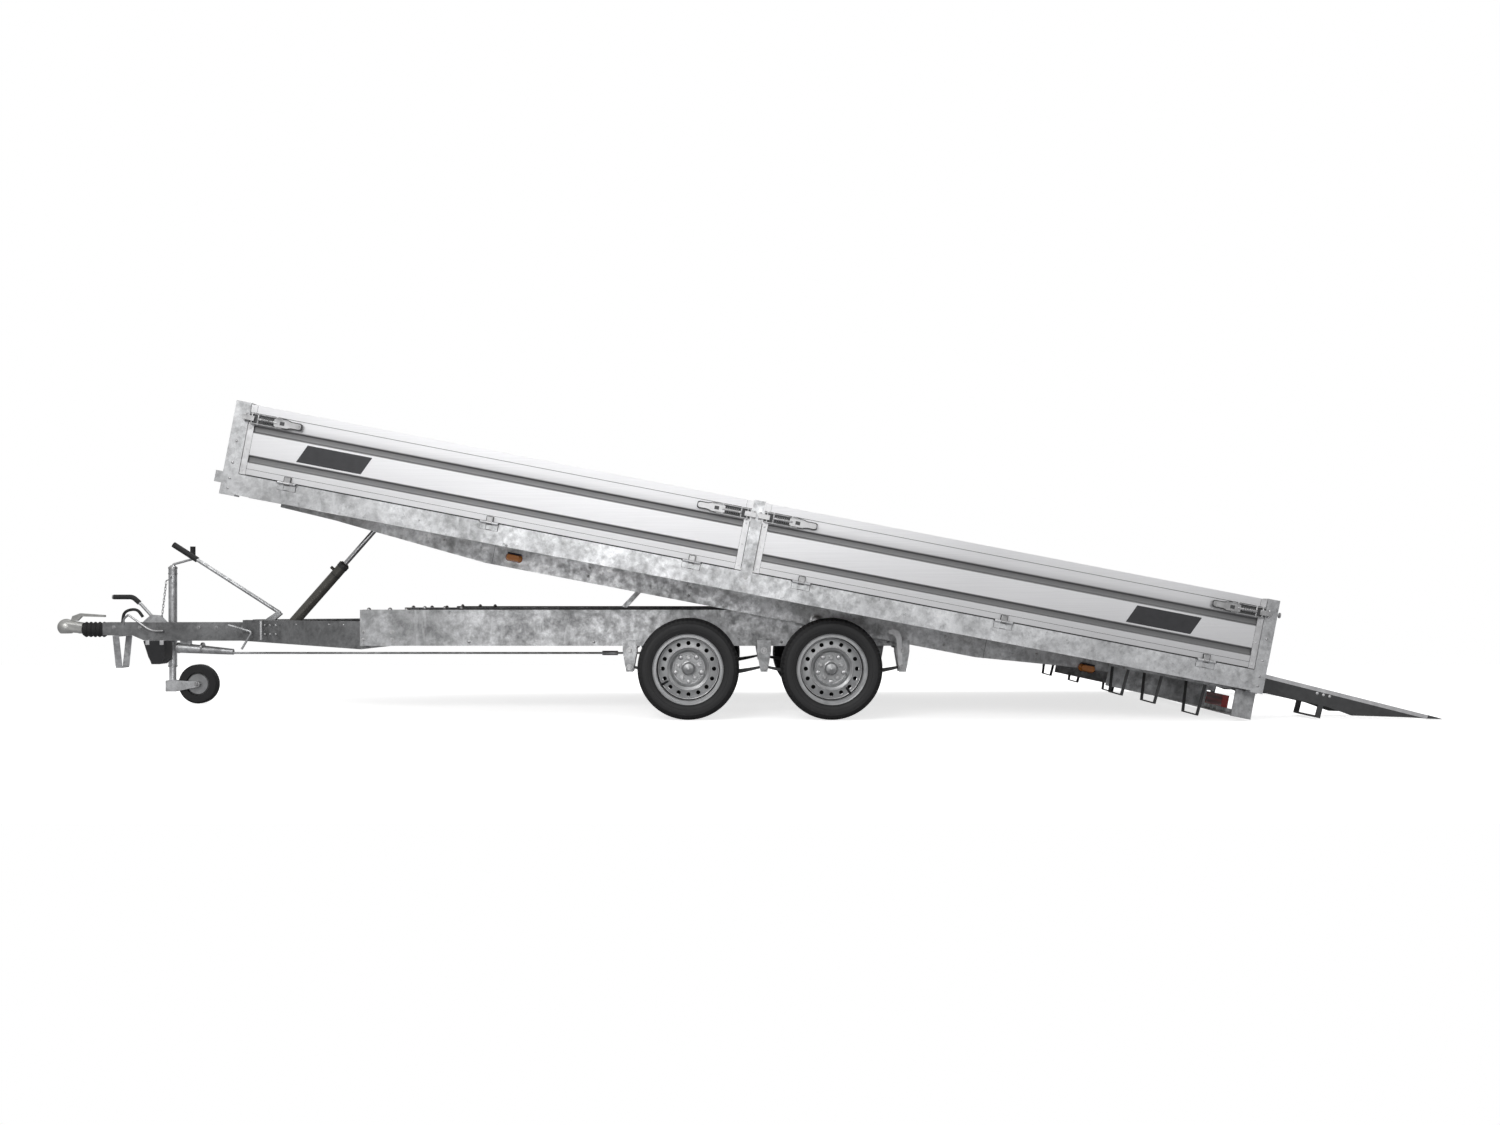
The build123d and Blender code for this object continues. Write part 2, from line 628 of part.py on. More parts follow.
def jockey_fork():
    """Swivelling foot block with the two trailing cheeks that hold the wheel."""
    half = JOCKEY_WHEEL_WIDTH / 2 + JOCKEY_FORK_GAP + JOCKEY_FORK_WALL
    y = (JOCKEY_Y - half, JOCKEY_Y + half)
    low, high = JOCKEY_BLOCK_BOTTOM_Z, JOCKEY_BLOCK_TOP_Z
    foot = block((JOCKEY_X - 27, JOCKEY_X + 32), y, (low, high))
    wheel_x = JOCKEY_X + JOCKEY_TRAIL
    outline = [
        (JOCKEY_X + 30, low),
        (wheel_x, JOCKEY_WHEEL_R - 17),
        (wheel_x + 17, JOCKEY_WHEEL_R),
        (wheel_x, JOCKEY_WHEEL_R + 17),
        (JOCKEY_X + 30, high),
    ]
    cheek_near = slab(outline, (y[0], y[0] + JOCKEY_FORK_WALL))
    cheek_far = slab(outline, (y[1] - JOCKEY_FORK_WALL, y[1]))
    pin = across(8, (y[0] - 4, y[1] + 4), wheel_x, JOCKEY_WHEEL_R)
    room = across(
        JOCKEY_WHEEL_R + JOCKEY_FORK_GAP,
        (y[0] + JOCKEY_FORK_WALL, y[1] - JOCKEY_FORK_WALL),
        wheel_x,
        JOCKEY_WHEEL_R,
    )
    return (foot - room) + cheek_near + cheek_far + pin


def jockey_wheel_ring(outer_r, inner_r, width):
    """A ring of the jockey wheel, on its own axis."""
    half = width / 2
    shoulder = min(10.0, half / 2)
    outline = [
        (inner_r, -half),
        (outer_r - shoulder, -half),
        (outer_r, -half + shoulder),
        (outer_r, half - shoulder),
        (outer_r - shoulder, half),
        (inner_r, half),
    ]
    ring = revolve(make_face(Polyline(*outline, close=True)), axis=Axis.Y)
    return Pos(JOCKEY_X + JOCKEY_TRAIL, JOCKEY_Y, JOCKEY_WHEEL_R) * ring


def spring_hangers():
    """Folded spring hangers under the rails."""
    hangers = []
    for x in HANGER_X:
        half = HANGER_LENGTH / 2
        outline = [
            (x - half, HANGER_TOP_Z),
            (x - half, HANGER_TOP_Z - 60),
            (x - half / 2, HANGER_BOTTOM_Z),
            (x + half / 2, HANGER_BOTTOM_Z),
            (x + half, HANGER_TOP_Z - 60),
            (x + half, HANGER_TOP_Z),
        ]
        ends = (x - half - 1, x + half + 1)
        inner_y = (HANGER_INNER_Y + HANGER_WALL, HANGER_OUTER_Y - HANGER_WALL)
        shell = slab(outline, (HANGER_INNER_Y, HANGER_OUTER_Y))
        shell -= block(ends, inner_y, (HANGER_BOTTOM_Z, HANGER_TOP_Z - 12))
        shell -= block(ends, (HANGER_INNER_Y, inner_y[0]), (RAIL_BOTTOM_Z, HANGER_TOP_Z))
        shell -= block(ends, (inner_y[0], inner_y[1]), (RAIL_BOTTOM_Z, HANGER_TOP_Z))
        shelf_y = (RAIL_INNER_Y, HANGER_OUTER_Y - HANGER_WALL)
        shelf = block((x - half, min(x + half, RAIL_REAR_X)), shelf_y, (RAIL_BOTTOM_Z - 8, RAIL_BOTTOM_Z))
        pin_z = SPRING_END_Z - SPRING_END_THICKNESS / 2
        pin = across(HANGER_PIN_R, (HANGER_INNER_Y, HANGER_OUTER_Y + 6), x, pin_z)
        hangers.append(shell + shelf + pin)
    return far_and_near(group(hangers))


def leaf_springs():
    """One curved leaf pack on each side of each axle, under the axle beam."""
    springs = []
    for front, rear, axle in (
        (HANGER_X[0], HANGER_X[1], -AXLE_SPACING / 2),
        (HANGER_X[1], HANGER_X[2], AXLE_SPACING / 2),
    ):
        reach = HANGER_PIN_R + RUNNING_GAP
        start, end = front + reach, rear - reach
        middle_top = TYRE_R - AXLE_R - SPRING_SEAT_GAP
        middle_low = middle_top - SPRING_MIDDLE_THICKNESS
        end_low = SPRING_END_Z - SPRING_END_THICKNESS
        top = ThreePointArc((start, SPRING_END_Z), (axle, middle_top), (end, SPRING_END_Z))
        low = ThreePointArc((end, end_low), (axle, middle_low), (start, end_low))
        edges = [top, Line(top @ 1, low @ 0), low, Line(low @ 1, top @ 0)]
        face = Plane.XZ.offset(-SPRING_OUTER_Y) * make_face(edges)
        springs.append(extrude(face, amount=SPRING_OUTER_Y - SPRING_INNER_Y))
    return far_and_near(group(springs))


def axles():
    """Two axle beams with spring seats, brake drums and hubs."""
    beams = []
    hub_y = TYRE_OUTER_Y - TYRE_WIDTH / 2 - 22 - RUNNING_GAP
    outline = [
        (0, 0),
        (AXLE_R, 0),
        (AXLE_R, DRUM_INNER_Y),
        (DRUM_R - 14, DRUM_INNER_Y),
        (DRUM_R, DRUM_INNER_Y + 14),
        (DRUM_R, DRUM_OUTER_Y),
        (HUB_R, DRUM_OUTER_Y),
        (HUB_R, hub_y),
        (0, hub_y),
    ]
    half = revolve(make_face(Polyline(*outline, close=True)), axis=Axis.Y)
    seat_low = 3 - AXLE_R
    half += block((-45, 45), (SPRING_INNER_Y - 5, SPRING_OUTER_Y + 5), (seat_low, 0))
    beam = half + mirror(half, about=Plane.XZ)
    for x in (-AXLE_SPACING / 2, AXLE_SPACING / 2):
        beams.append(Pos(x, 0, TYRE_R) * beam)
    return group(beams)


def tyre():
    """Road tyre about its own axis, outer side towards +Y."""
    half = TYRE_WIDTH / 2
    outline = [
        (RIM_BEAD_R + 9, -half + 18),
        (RIM_BEAD_R + 30, -half + 2),
        (RIM_BEAD_R + 56, -half),
        (TYRE_R - 12, -half + 16),
        (TYRE_R - 2, -half + 34),
        (TYRE_R, 0),
        (TYRE_R - 2, half - 34),
        (TYRE_R - 12, half - 16),
        (RIM_BEAD_R + 56, half),
        (RIM_BEAD_R + 30, half - 2),
        (RIM_BEAD_R + 9, half - 18),
        (RIM_BEAD_R + 0.5, half - 22),
        (RIM_BEAD_R + 0.5, -half + 22),
    ]
    return revolve(make_face(Polyline(*outline, close=True)), axis=Axis.Y)


def rim():
    """Steel disc wheel with round vents and a domed hub cap, outer side towards +Y."""
    half = TYRE_WIDTH / 2
    bead = RIM_BEAD_R
    barrel = [
        (bead - RIM_WALL, -half + 10),
        (bead + 8, -half + 10),
        (RIM_FLANGE_R, -half + 6),
        (RIM_FLANGE_R, -half + 10),
        (bead + 8, -half + 16),
        (bead, -half + 20),
        (bead, half - 20),
        (bead + 8, half - 16),
        (RIM_FLANGE_R, half - 10),
        (RIM_FLANGE_R, half - 6),
        (bead + 8, half - 10),
        (bead - RIM_WALL, half - 10),
    ]
    wheel = revolve(make_face(Polyline(*barrel, close=True)), axis=Axis.Y)
    # radius, place along the axis of the disc's outer surface
    dish = [(0, -14), (84, -14), (96, 18), (112, 26), (152, 20), (bead - RIM_WALL, 4)]
    back = [(r, y - DISC_THICKNESS - 2) for r, y in reversed(dish)]
    disc = revolve(make_face(Polyline(*dish, *back, close=True)), axis=Axis.Y)
    for index in range(VENT_COUNT):
        angle = 360 / VENT_COUNT * index
        disc -= Rot(0, angle, 0) * across(VENT_R, (-20, 40), VENT_CIRCLE_R, 0)
    cap = [(0, -14), (HUB_CAP_R, -14), (HUB_CAP_R, 12), (HUB_CAP_R - 8, 28), (0, 36)]
    return wheel + disc + revolve(make_face(Polyline(*cap, close=True)), axis=Axis.Y)


def at_wheel(shape, x, side):
    """Put a wheel piece on its axle; side is 1 on the far side, -1 on the near side."""
    piece = Pos(0, TYRE_OUTER_Y - TYRE_WIDTH / 2, 0) * shape
    if side < 0:
        piece = mirror(piece, about=Plane.XZ)
    return Pos(x, 0, TYRE_R) * piece


def cylinder_geometry():
    """Angle and length of the lift cylinder with the bed at rest."""
    eye_x, eye_z = bed_point(EYE_U, EYE_N)
    rise, run = eye_z - FOOT_Z, eye_x - FOOT_X
    return math.degrees(math.atan2(rise, run)), math.hypot(rise, run)


def on_cylinder(shape):
    """Turn a shape drawn along +X from the foot pin to the cylinder's line."""
    angle, _ = cylinder_geometry()
    return Pos(FOOT_X, 0, FOOT_Z) * Rot(0, -angle, 0) * shape


def lift_barrel():
    """Cylinder barrel with its foot lug, gland ring and oil port."""
    along = Rot(0, 90, 0)
    low = (Align.CENTER, Align.CENTER, Align.MIN)
    barrel = Pos(BARREL_START, 0, 0) * along * Cylinder(BARREL_R, BARREL_LENGTH - BARREL_START, align=low)
    bore_length = BARREL_LENGTH - ROD_START
    barrel -= Pos(ROD_START, 0, 0) * along * Cylinder(ROD_R + 4, bore_length, align=low)
    barrel += across(BARREL_R - 4, (-LUG_HALF_WIDTH, LUG_HALF_WIDTH))
    port = Pos(BARREL_LENGTH - 60, 0, BARREL_R - 2) * Cylinder(9, 22, align=low)
    return on_cylinder(barrel + port)


def lift_rod():
    """Piston rod with its eye."""
    _, length = cylinder_geometry()
    low = (Align.CENTER, Align.CENTER, Align.MIN)
    stroke_room = 352.0
    start = ROD_START + stroke_room
    rod = Pos(start, 0, 0) * Rot(0, 90, 0) * Cylinder(ROD_R, length - start, align=low)
    head = Pos(start, 0, 0) * Rot(0, 90, 0) * Cylinder(ROD_R + 3.7, 40, align=low)
    eye = across(EYE_R, (-LUG_HALF_WIDTH, LUG_HALF_WIDTH), length)
    return on_cylinder(rod + head + eye)


def bed_side_rails():
    """Galvanised side rails of the bed, folded, open to the inside."""
    outline = [
        (BED_FRONT_U, RAIL_LOW_N),
        (BED_REAR_U, RAIL_LOW_N),
        (BED_REAR_U, FLOOR_N),
        (BED_FRONT_U, FLOOR_N),
    ]
    rail = channel(outline, BED_HALF_WIDTH, BED_HALF_WIDTH - SIDE_FLANGE, SIDE_WALL)
    return on_bed(far_and_near(rail))


def bed_beams():
    """The bed's two long belly beams, with the holes for the tilt axis."""
    outline = list(BEAM_LOWER_EDGE)
    outline.append((BEAM_LOWER_EDGE[-1][0], BED_CROSS_LOW_N))
    outline.append((BEAM_LOWER_EDGE[0][0], BED_CROSS_LOW_N))
    beam = channel(outline, BEAM_OUTER_Y, BEAM_INNER_Y, BEAM_WALL)
    beam -= across(PIVOT_HOLE_R, (BEAM_INNER_Y - 1, BEAM_OUTER_Y + 1))
    return on_bed(far_and_near(beam))


def bed_cross_members():
    """Cross members under the floor, with the ears for the cylinder's rod."""
    half = BED_HALF_WIDTH - SIDE_FLANGE
    top = FLOOR_N - FLOOR_THICKNESS
    members = []
    for u in BED_CROSS_U:
        outer = block((u, u + BED_CROSS_WIDTH), (-half, half), (BED_CROSS_LOW_N, top))
        pocket = (BED_CROSS_LOW_N + SIDE_WALL, top - SIDE_WALL)
        member = outer - block((u + SIDE_WALL, u + BED_CROSS_WIDTH + SIDE_WALL), (-half, half), pocket)
        if u == BED_CROSS_U[1]:
            ear_y = (LUG_HALF_WIDTH + RUNNING_GAP, LUG_HALF_WIDTH + RUNNING_GAP + EAR_THICKNESS)
            ear = block((EYE_U, u), ear_y, (BED_CROSS_LOW_N + 10, top))
            ear += across(EYE_R + 8, ear_y, EYE_U, EYE_N)
            member += ear + mirror(ear, about=Plane.XZ)
        members.append(member)
    return on_bed(group(members))


def bed_floor():
    """Floor panel between the side rails."""
    half = BED_HALF_WIDTH - SIDE_FLANGE
    thickness = (FLOOR_N - FLOOR_THICKNESS, FLOOR_N)
    return on_bed(block((BED_FRONT_U, BED_REAR_U), (-half, half), thickness))


def board_section(low, high):
    """Section of a board: x is the distance in from its outer face, y is the height."""
    points = [(0, low)]
    for below, height in reversed(GROOVES):
        bottom = high - below - height
        top = high - below
        points.append((0, bottom))
        points.append((GROOVE_DEPTH, bottom + GROOVE_SLOPE))
        points.append((GROOVE_DEPTH, top - GROOVE_SLOPE))
        points.append((0, top))
    points += [(0, high), (BOARD_THICKNESS, high), (BOARD_THICKNESS, low)]
    return points


def side_board(front_u, rear_u):
    """One aluminium drop board on the far side, with grooves and end caps."""
    low = FLOOR_N + BOARD_BASE_GAP
    high = low + BOARD_HEIGHT
    outline = [(BOARD_FACE_Y - x, n) for x, n in board_section(low, high)]
    start = front_u + BOARD_END_GAP
    length = rear_u - front_u - 2 * BOARD_END_GAP
    board = extrude(Plane.YZ.offset(start) * make_face(Polyline(*outline, close=True)), amount=length)
    cap_y = (BOARD_FACE_Y - BOARD_THICKNESS, BOARD_FACE_Y)
    for edge in (start, start + length - 30):
        board += block((edge, edge + 30), cap_y, (low, high))
    return board


def side_latch(post_u, direction):
    """One over-centre latch at a board's end; direction points from the post to the board."""
    top = FLOOR_N + BOARD_BASE_GAP + BOARD_HEIGHT - LATCH_TOP_BELOW_EDGE
    n = (top - LATCH_HEIGHT, top)
    base_start = post_u + direction * (BOARD_END_GAP + 2)
    base_end = base_start + direction * (LATCH_LENGTH - 60)
    base = block(sorted((base_start, base_end)), (BOARD_FACE_Y, BOARD_FACE_Y + LATCH_BASE), n)
    lever_start = base_start + direction * 30
    lever_end = base_start + direction * LATCH_LENGTH
    middle = (n[0] + n[1]) / 2
    lever_span = sorted((lever_start, lever_end - direction * 60))
    lever = block(lever_span, (BOARD_FACE_Y, CLAW_OUTER_Y), (n[0] + 9, n[1] - 9))
    blade_span = sorted((lever_end - direction * 62, lever_end))
    blade = block(blade_span, (BOARD_FACE_Y + 12, CLAW_OUTER_Y), (middle - 12, middle + 12))
    claw_span = sorted((post_u - direction * CLAW_REACH, lever_start + direction))
    claw = block(claw_span, (CLAW_INNER_Y, CLAW_OUTER_Y), (middle - 14, middle + 14))
    return base + lever + blade + claw


def board_fittings(front_u, rear_u):
    """Latches at both ends and the board's halves of its three hinges."""
    pieces = [side_latch(front_u, 1), side_latch(rear_u, -1)]
    for u in hinge_places(front_u, rear_u):
        half = KNUCKLE_LENGTH / 2
        span = (u - half, u + half)
        low = FLOOR_N + BOARD_BASE_GAP
        leaf = block(span, (BOARD_FACE_Y, HINGE_AXIS_Y), (low + 1, low + 26))
        leaf += block(span, (HINGE_AXIS_Y - 4, HINGE_AXIS_Y), (HINGE_AXIS_N, low + 2))
        barrel = Pos(u, HINGE_AXIS_Y, HINGE_AXIS_N) * Rot(0, 90, 0) * Cylinder(KNUCKLE_R, KNUCKLE_LENGTH)
        pieces.append(leaf + barrel)
    return group(pieces)


def hinge_places(front_u, rear_u):
    """Where a board's three hinges are."""
    return (front_u + HINGE_INSET, (front_u + rear_u) / 2, rear_u - HINGE_INSET)


def bed_hinges():
    """The bed's halves of the board hinges, on the side rails and the rear cross member."""
    pieces = []
    for front_u, rear_u in BOARD_SPANS:
        for u in hinge_places(front_u, rear_u):
            for side in (-1, 1):
                inner = KNUCKLE_LENGTH / 2 + KNUCKLE_GAP
                span = sorted((u + side * inner, u + side * (inner + KNUCKLE_LENGTH)))
                plate = block(span, (BED_HALF_WIDTH, BED_HALF_WIDTH + 4), (HINGE_AXIS_N - 36, HINGE_AXIS_N))
                arm_n = (HINGE_AXIS_N - KNUCKLE_R, HINGE_AXIS_N - 2)
                arm = block(span, (BED_HALF_WIDTH, HINGE_AXIS_Y), arm_n)
                centre = Pos((span[0] + span[1]) / 2, HINGE_AXIS_Y, HINGE_AXIS_N)
                barrel = centre * Rot(0, 90, 0) * Cylinder(KNUCKLE_R, KNUCKLE_LENGTH)
                pieces.append(plate + arm + barrel)
    sides = far_and_near(group(pieces))
    tail = []
    for y in TAIL_HINGE_Y:
        for side in (-1, 1):
            inner = KNUCKLE_LENGTH / 2 + KNUCKLE_GAP
            span = sorted((y + side * inner, y + side * (inner + KNUCKLE_LENGTH)))
            tail.append(across(TAIL_KNUCKLE_R, span, TAIL_HINGE_U, TAIL_HINGE_N))
            tail.append(block((REAR_POST_U, TAIL_HINGE_U), span, (TAIL_HINGE_N - 40, TAIL_HINGE_N)))
    joined = [tail[i] + tail[i + 1] for i in range(0, len(tail), 2)]
    return on_bed(group([sides, *joined]))


def bed_posts():
    """Corner posts and the middle posts, folded from galvanised plate."""
    top = FLOOR_N + BOARD_BASE_GAP + BOARD_HEIGHT + POST_TOP_EXTRA
    y = (POST_INNER_Y, BED_HALF_WIDTH)
    front = block((FRONT_POST_U, BED_FRONT_U - RUNNING_GAP), y, (RAIL_LOW_N - 8, top))
    pocket_y = (POST_INNER_Y - 1, BED_HALF_WIDTH - POST_WALL)
    pocket_n = (RAIL_LOW_N, top - POST_WALL)
    front -= block((FRONT_POST_U + POST_WALL, BED_FRONT_U - POST_WALL), pocket_y, pocket_n)
    foot = block((FRONT_POST_U - 36, FRONT_POST_U), y, (FLOOR_N - 60, FLOOR_N - 2))
    rear = block((BED_REAR_U + RUNNING_GAP, REAR_POST_U), y, (RAIL_LOW_N - 8, top))
    rear -= block((BED_REAR_U + POST_WALL, REAR_POST_U - POST_WALL), pocket_y, pocket_n)
    half = MIDDLE_POST_WIDTH / 2
    span = (MIDDLE_POST_U - half, MIDDLE_POST_U + half)
    middle = block(span, (BED_HALF_WIDTH, BED_HALF_WIDTH + 8), (MIDDLE_POST_LOW_N, top))
    middle += block(span, (BOARD_FACE_Y - BOARD_THICKNESS, BED_HALF_WIDTH + 8), (FLOOR_N, top))
    return on_bed(far_and_near(group([front + foot, rear, middle])))


def front_wall():
    """Fixed front board between the corner posts, on its folded beam."""
    low = FLOOR_N + BOARD_BASE_GAP
    high = low + BOARD_HEIGHT
    face_u = FRONT_POST_U + 30
    outline = [(face_u + x, n) for x, n in board_section(low, high)]
    half = POST_INNER_Y
    wall = slab(outline, (-half, half))
    return on_bed(wall)


def front_beam():
    """Folded beam under the front wall."""
    outline = [
        (FRONT_POST_U, RAIL_LOW_N),
        (BED_FRONT_U - RUNNING_GAP, RAIL_LOW_N),
        (BED_FRONT_U - RUNNING_GAP, FLOOR_N + BOARD_BASE_GAP),
        (FRONT_POST_U, FLOOR_N + BOARD_BASE_GAP),
    ]
    beam = slab(outline, (-POST_INNER_Y, POST_INNER_Y))
    pocket = block(
        (FRONT_POST_U + POST_WALL, BED_FRONT_U),
        (-POST_INNER_Y, POST_INNER_Y),
        (RAIL_LOW_N + POST_WALL, FLOOR_N + BOARD_BASE_GAP - POST_WALL),
    )
    return on_bed(beam - pocket)


def tailgate():
    """Rear board between the rear posts, hinged at its foot."""
    low = FLOOR_N + 2
    high = FLOOR_N + BOARD_BASE_GAP + BOARD_HEIGHT
    outline = [(TAILGATE_OUTER_U - x, n) for x, n in board_section(low, high)]
    half = POST_INNER_Y - 3
    return on_bed(slab(outline, (-half, half)))


def tailgate_fittings():
    """The tailgate's halves of its hinges."""
    pieces = []
    for y in TAIL_HINGE_Y:
        span = (y - KNUCKLE_LENGTH / 2, y + KNUCKLE_LENGTH / 2)
        leaf = block((TAILGATE_OUTER_U, TAIL_HINGE_U + 2), span, (FLOOR_N + 3, FLOOR_N + 30))
        link = block((TAIL_HINGE_U - 4, TAIL_HINGE_U + 2), span, (TAIL_HINGE_N, FLOOR_N + 4))
        pieces.append(leaf + link + across(TAIL_KNUCKLE_R, span, TAIL_HINGE_U, TAIL_HINGE_N))
    return on_bed(group(pieces))


def rear_frame():
    """Rear cross member with the ramp ears, end plates and the low lamp bar."""
    cross = block(
        (REAR_CROSS_FRONT_U, REAR_POST_U),
        (-POST_INNER_Y, POST_INNER_Y),
        (REAR_CROSS_LOW_N, FLOOR_N),
    )
    cross -= block(
        (REAR_CROSS_FRONT_U - 1, REAR_POST_U - POST_WALL),
        (-POST_INNER_Y, POST_INNER_Y),
        (REAR_CROSS_LOW_N + POST_WALL, FLOOR_N - POST_WALL),
    )
    half = LAMP_BAR_HALF_WIDTH
    bar = block(
        (REAR_CROSS_FRONT_U, REAR_POST_U),
        (-half, half),
        (LAMP_BAR_LOW_N, LAMP_BAR_LOW_N + LAMP_BAR_HEIGHT),
    )
    bar -= block(
        (REAR_CROSS_FRONT_U - 1, REAR_POST_U - POST_WALL),
        (-half, half),
        (LAMP_BAR_LOW_N + POST_WALL, LAMP_BAR_LOW_N + LAMP_BAR_HEIGHT + 1),
    )
    frame = cross + bar
    for side in (-1, 1):
        y = sorted((side * half, side * (half - END_PLATE)))
        frame += block((REAR_CROSS_FRONT_U - 40, REAR_POST_U), y, (LAMP_BAR_LOW_N, REAR_CROSS_LOW_N + 5))
        for edge in (RAMP_INNER_Y - RAMP_EAR_GAP, RAMP_OUTER_Y + RAMP_EAR_GAP):
            ear_y = sorted((side * (edge - 4), side * (edge + 4)))
            ear = block((REAR_POST_U - 1, RAMP_PIVOT_U), ear_y, (RAMP_PIVOT_N - 25, RAMP_PIVOT_N + 12))
            frame += ear + across(13, ear_y, RAMP_PIVOT_U, RAMP_PIVOT_N)
    return on_bed(frame)


def ramp_stowage():
    """Bars and deep inner plates of the bay that holds a stowed ramp."""
    u = (STOWAGE_FRONT_U, REAR_CROSS_FRONT_U)
    n = (BED_CROSS_LOW_N - STOWAGE_BAR, BED_CROSS_LOW_N)
    pieces = []
    for y in (STOWAGE_INNER_Y, STOWAGE_OUTER_Y):
        pieces.append(block(u, (y - STOWAGE_BAR, y + STOWAGE_BAR), n))
    plate = [
        (u[0] + 20, -50),
        (u[1] - 42, -62),
        (u[1] - 42, BED_CROSS_LOW_N),
        (u[0] + 20, BED_CROSS_LOW_N),
    ]
    pieces.append(slab(plate, (BEAM_OUTER_Y, BEAM_OUTER_Y + SIDE_WALL)))
    return on_bed(far_and_near(group(pieces)))


def ramp_hoops():
    """Dark flat-bar hoops that hold a stowed ramp."""
    hoops = []
    top = BED_CROSS_LOW_N - STOWAGE_BAR
    for u, low in HOOPS:
        inner_y, outer_y = STOWAGE_INNER_Y, STOWAGE_OUTER_Y
        wall = HOOP_THICKNESS
        outer = [
            (inner_y - wall, top),
            (inner_y + HOOP_TAPER - wall, low),
            (outer_y - HOOP_TAPER + wall, low),
            (outer_y + wall, top),
        ]
        inner = [
            (inner_y, top + 1),
            (inner_y + HOOP_TAPER, low + wall),
            (outer_y - HOOP_TAPER, low + wall),
            (outer_y, top + 1),
        ]
        faces = [make_face(Polyline(*points, close=True)) for points in (outer, inner)]
        bars = [extrude(Plane.YZ.offset(u) * face, amount=HOOP_WIDTH) for face in faces]
        hoops.append(bars[0] - bars[1])
    return on_bed(far_and_near(group(hoops)))


def side_lamps():
    """Amber side lamps on the belly beams."""
    lamps = []
    for u in SIDE_LAMP_U:
        holder_n = (SIDE_LAMP_N - 20, SIDE_LAMP_N + 24)
        holder = block((u - 34, u + 34), (BEAM_OUTER_Y, BEAM_OUTER_Y + 12), holder_n)
        sections = [
            Plane.XZ.offset(-BEAM_OUTER_Y - 12) * Pos(u, SIDE_LAMP_N) * RectangleRounded(92, 42, 18),
            Plane.XZ.offset(-BEAM_OUTER_Y - 42) * Pos(u, SIDE_LAMP_N) * RectangleRounded(70, 28, 12),
        ]
        lamps.append(holder + loft(sections))
    return on_bed(far_and_near(group(lamps)))


def tail_lamps():
    """Rear lamp clusters on the lamp bar, between the ramps."""
    u = (REAR_POST_U, REAR_POST_U + TAIL_LAMP_DEPTH)
    low = LAMP_BAR_LOW_N + 6
    lamp = block(u, TAIL_LAMP_Y, (low, low + TAIL_LAMP_HEIGHT))
    return on_bed(far_and_near(lamp))


def bed_prop():
    """Bent flat strap under the bed that props it open."""
    front, rear = PROP_U
    outline = [
        (front, BED_CROSS_LOW_N - 201),
        (front + 26, BED_CROSS_LOW_N - 207),
        (front + 118, BED_CROSS_LOW_N - 60),
        (rear, BED_CROSS_LOW_N - 8),
        (rear, BED_CROSS_LOW_N),
        (rear - 55, BED_CROSS_LOW_N),
        (front + 101, BED_CROSS_LOW_N - 44),
    ]
    return on_bed(slab(outline, PROP_Y))


def ramp():
    """One loading ramp on the far side: two side plates, the deck between them, and the leg."""
    top = RAMP_TOP
    outline = [(RAMP_DEPTHS[0][0], top), (RAMP_LENGTH, top)]
    outline += [(r, top - depth) for r, depth in reversed(RAMP_DEPTHS)]
    inner = (RAMP_INNER_Y + RAMP_WALL, RAMP_OUTER_Y - RAMP_WALL)
    ear_inner = RAMP_INNER_Y - RAMP_EAR_GAP + 4 + RUNNING_GAP
    ear_outer = RAMP_OUTER_Y + RAMP_EAR_GAP - 4 - RUNNING_GAP
    leg_u = (RAMP_LEG_R, RAMP_LEG_R + RAMP_LEG_WIDTH)
    t = RAMP_LEG_THICKNESS
    leg_n = (RAMP_LEG_LOW + t, top - 60)
    near = slab(outline, (RAMP_INNER_Y, inner[0]))
    near += block(leg_u, (RAMP_INNER_Y, RAMP_INNER_Y + t), leg_n)
    near += across(RAMP_TUBE_R, (ear_inner, inner[0]))
    far = slab(outline, (inner[1], RAMP_OUTER_Y))
    far += block(leg_u, (RAMP_OUTER_Y - t, RAMP_OUTER_Y), leg_n)
    far += across(RAMP_TUBE_R, (inner[1], ear_outer))
    tip_start = RAMP_DEPTHS[-1][0]
    deck = slab([(tip_start, top), (RAMP_LENGTH, top), (tip_start, top - 7)], inner)
    deck += across(RAMP_TUBE_R, inner)
    for y in (inner[0], inner[1] - RAMP_LIP):
        deck += block((0, tip_start + 5), (y, y + RAMP_LIP), (top - 14, top - 1))
    pitch = (tip_start - 40) / RAMP_RUNGS
    for index in range(RAMP_RUNGS):
        start = 30 + index * pitch
        deck += block((start, start + RAMP_RUNG_WIDTH), inner, (top - 14, top - 1))
    foot = block(leg_u, (RAMP_INNER_Y, RAMP_OUTER_Y), (RAMP_LEG_LOW, RAMP_LEG_LOW + t))
    return on_ramp(group([near, far, deck, foot]))


BOARD_SPANS = (
    (BED_FRONT_U, MIDDLE_POST_U - MIDDLE_POST_WIDTH / 2),
    (MIDDLE_POST_U + MIDDLE_POST_WIDTH / 2, BED_REAR_U),
)

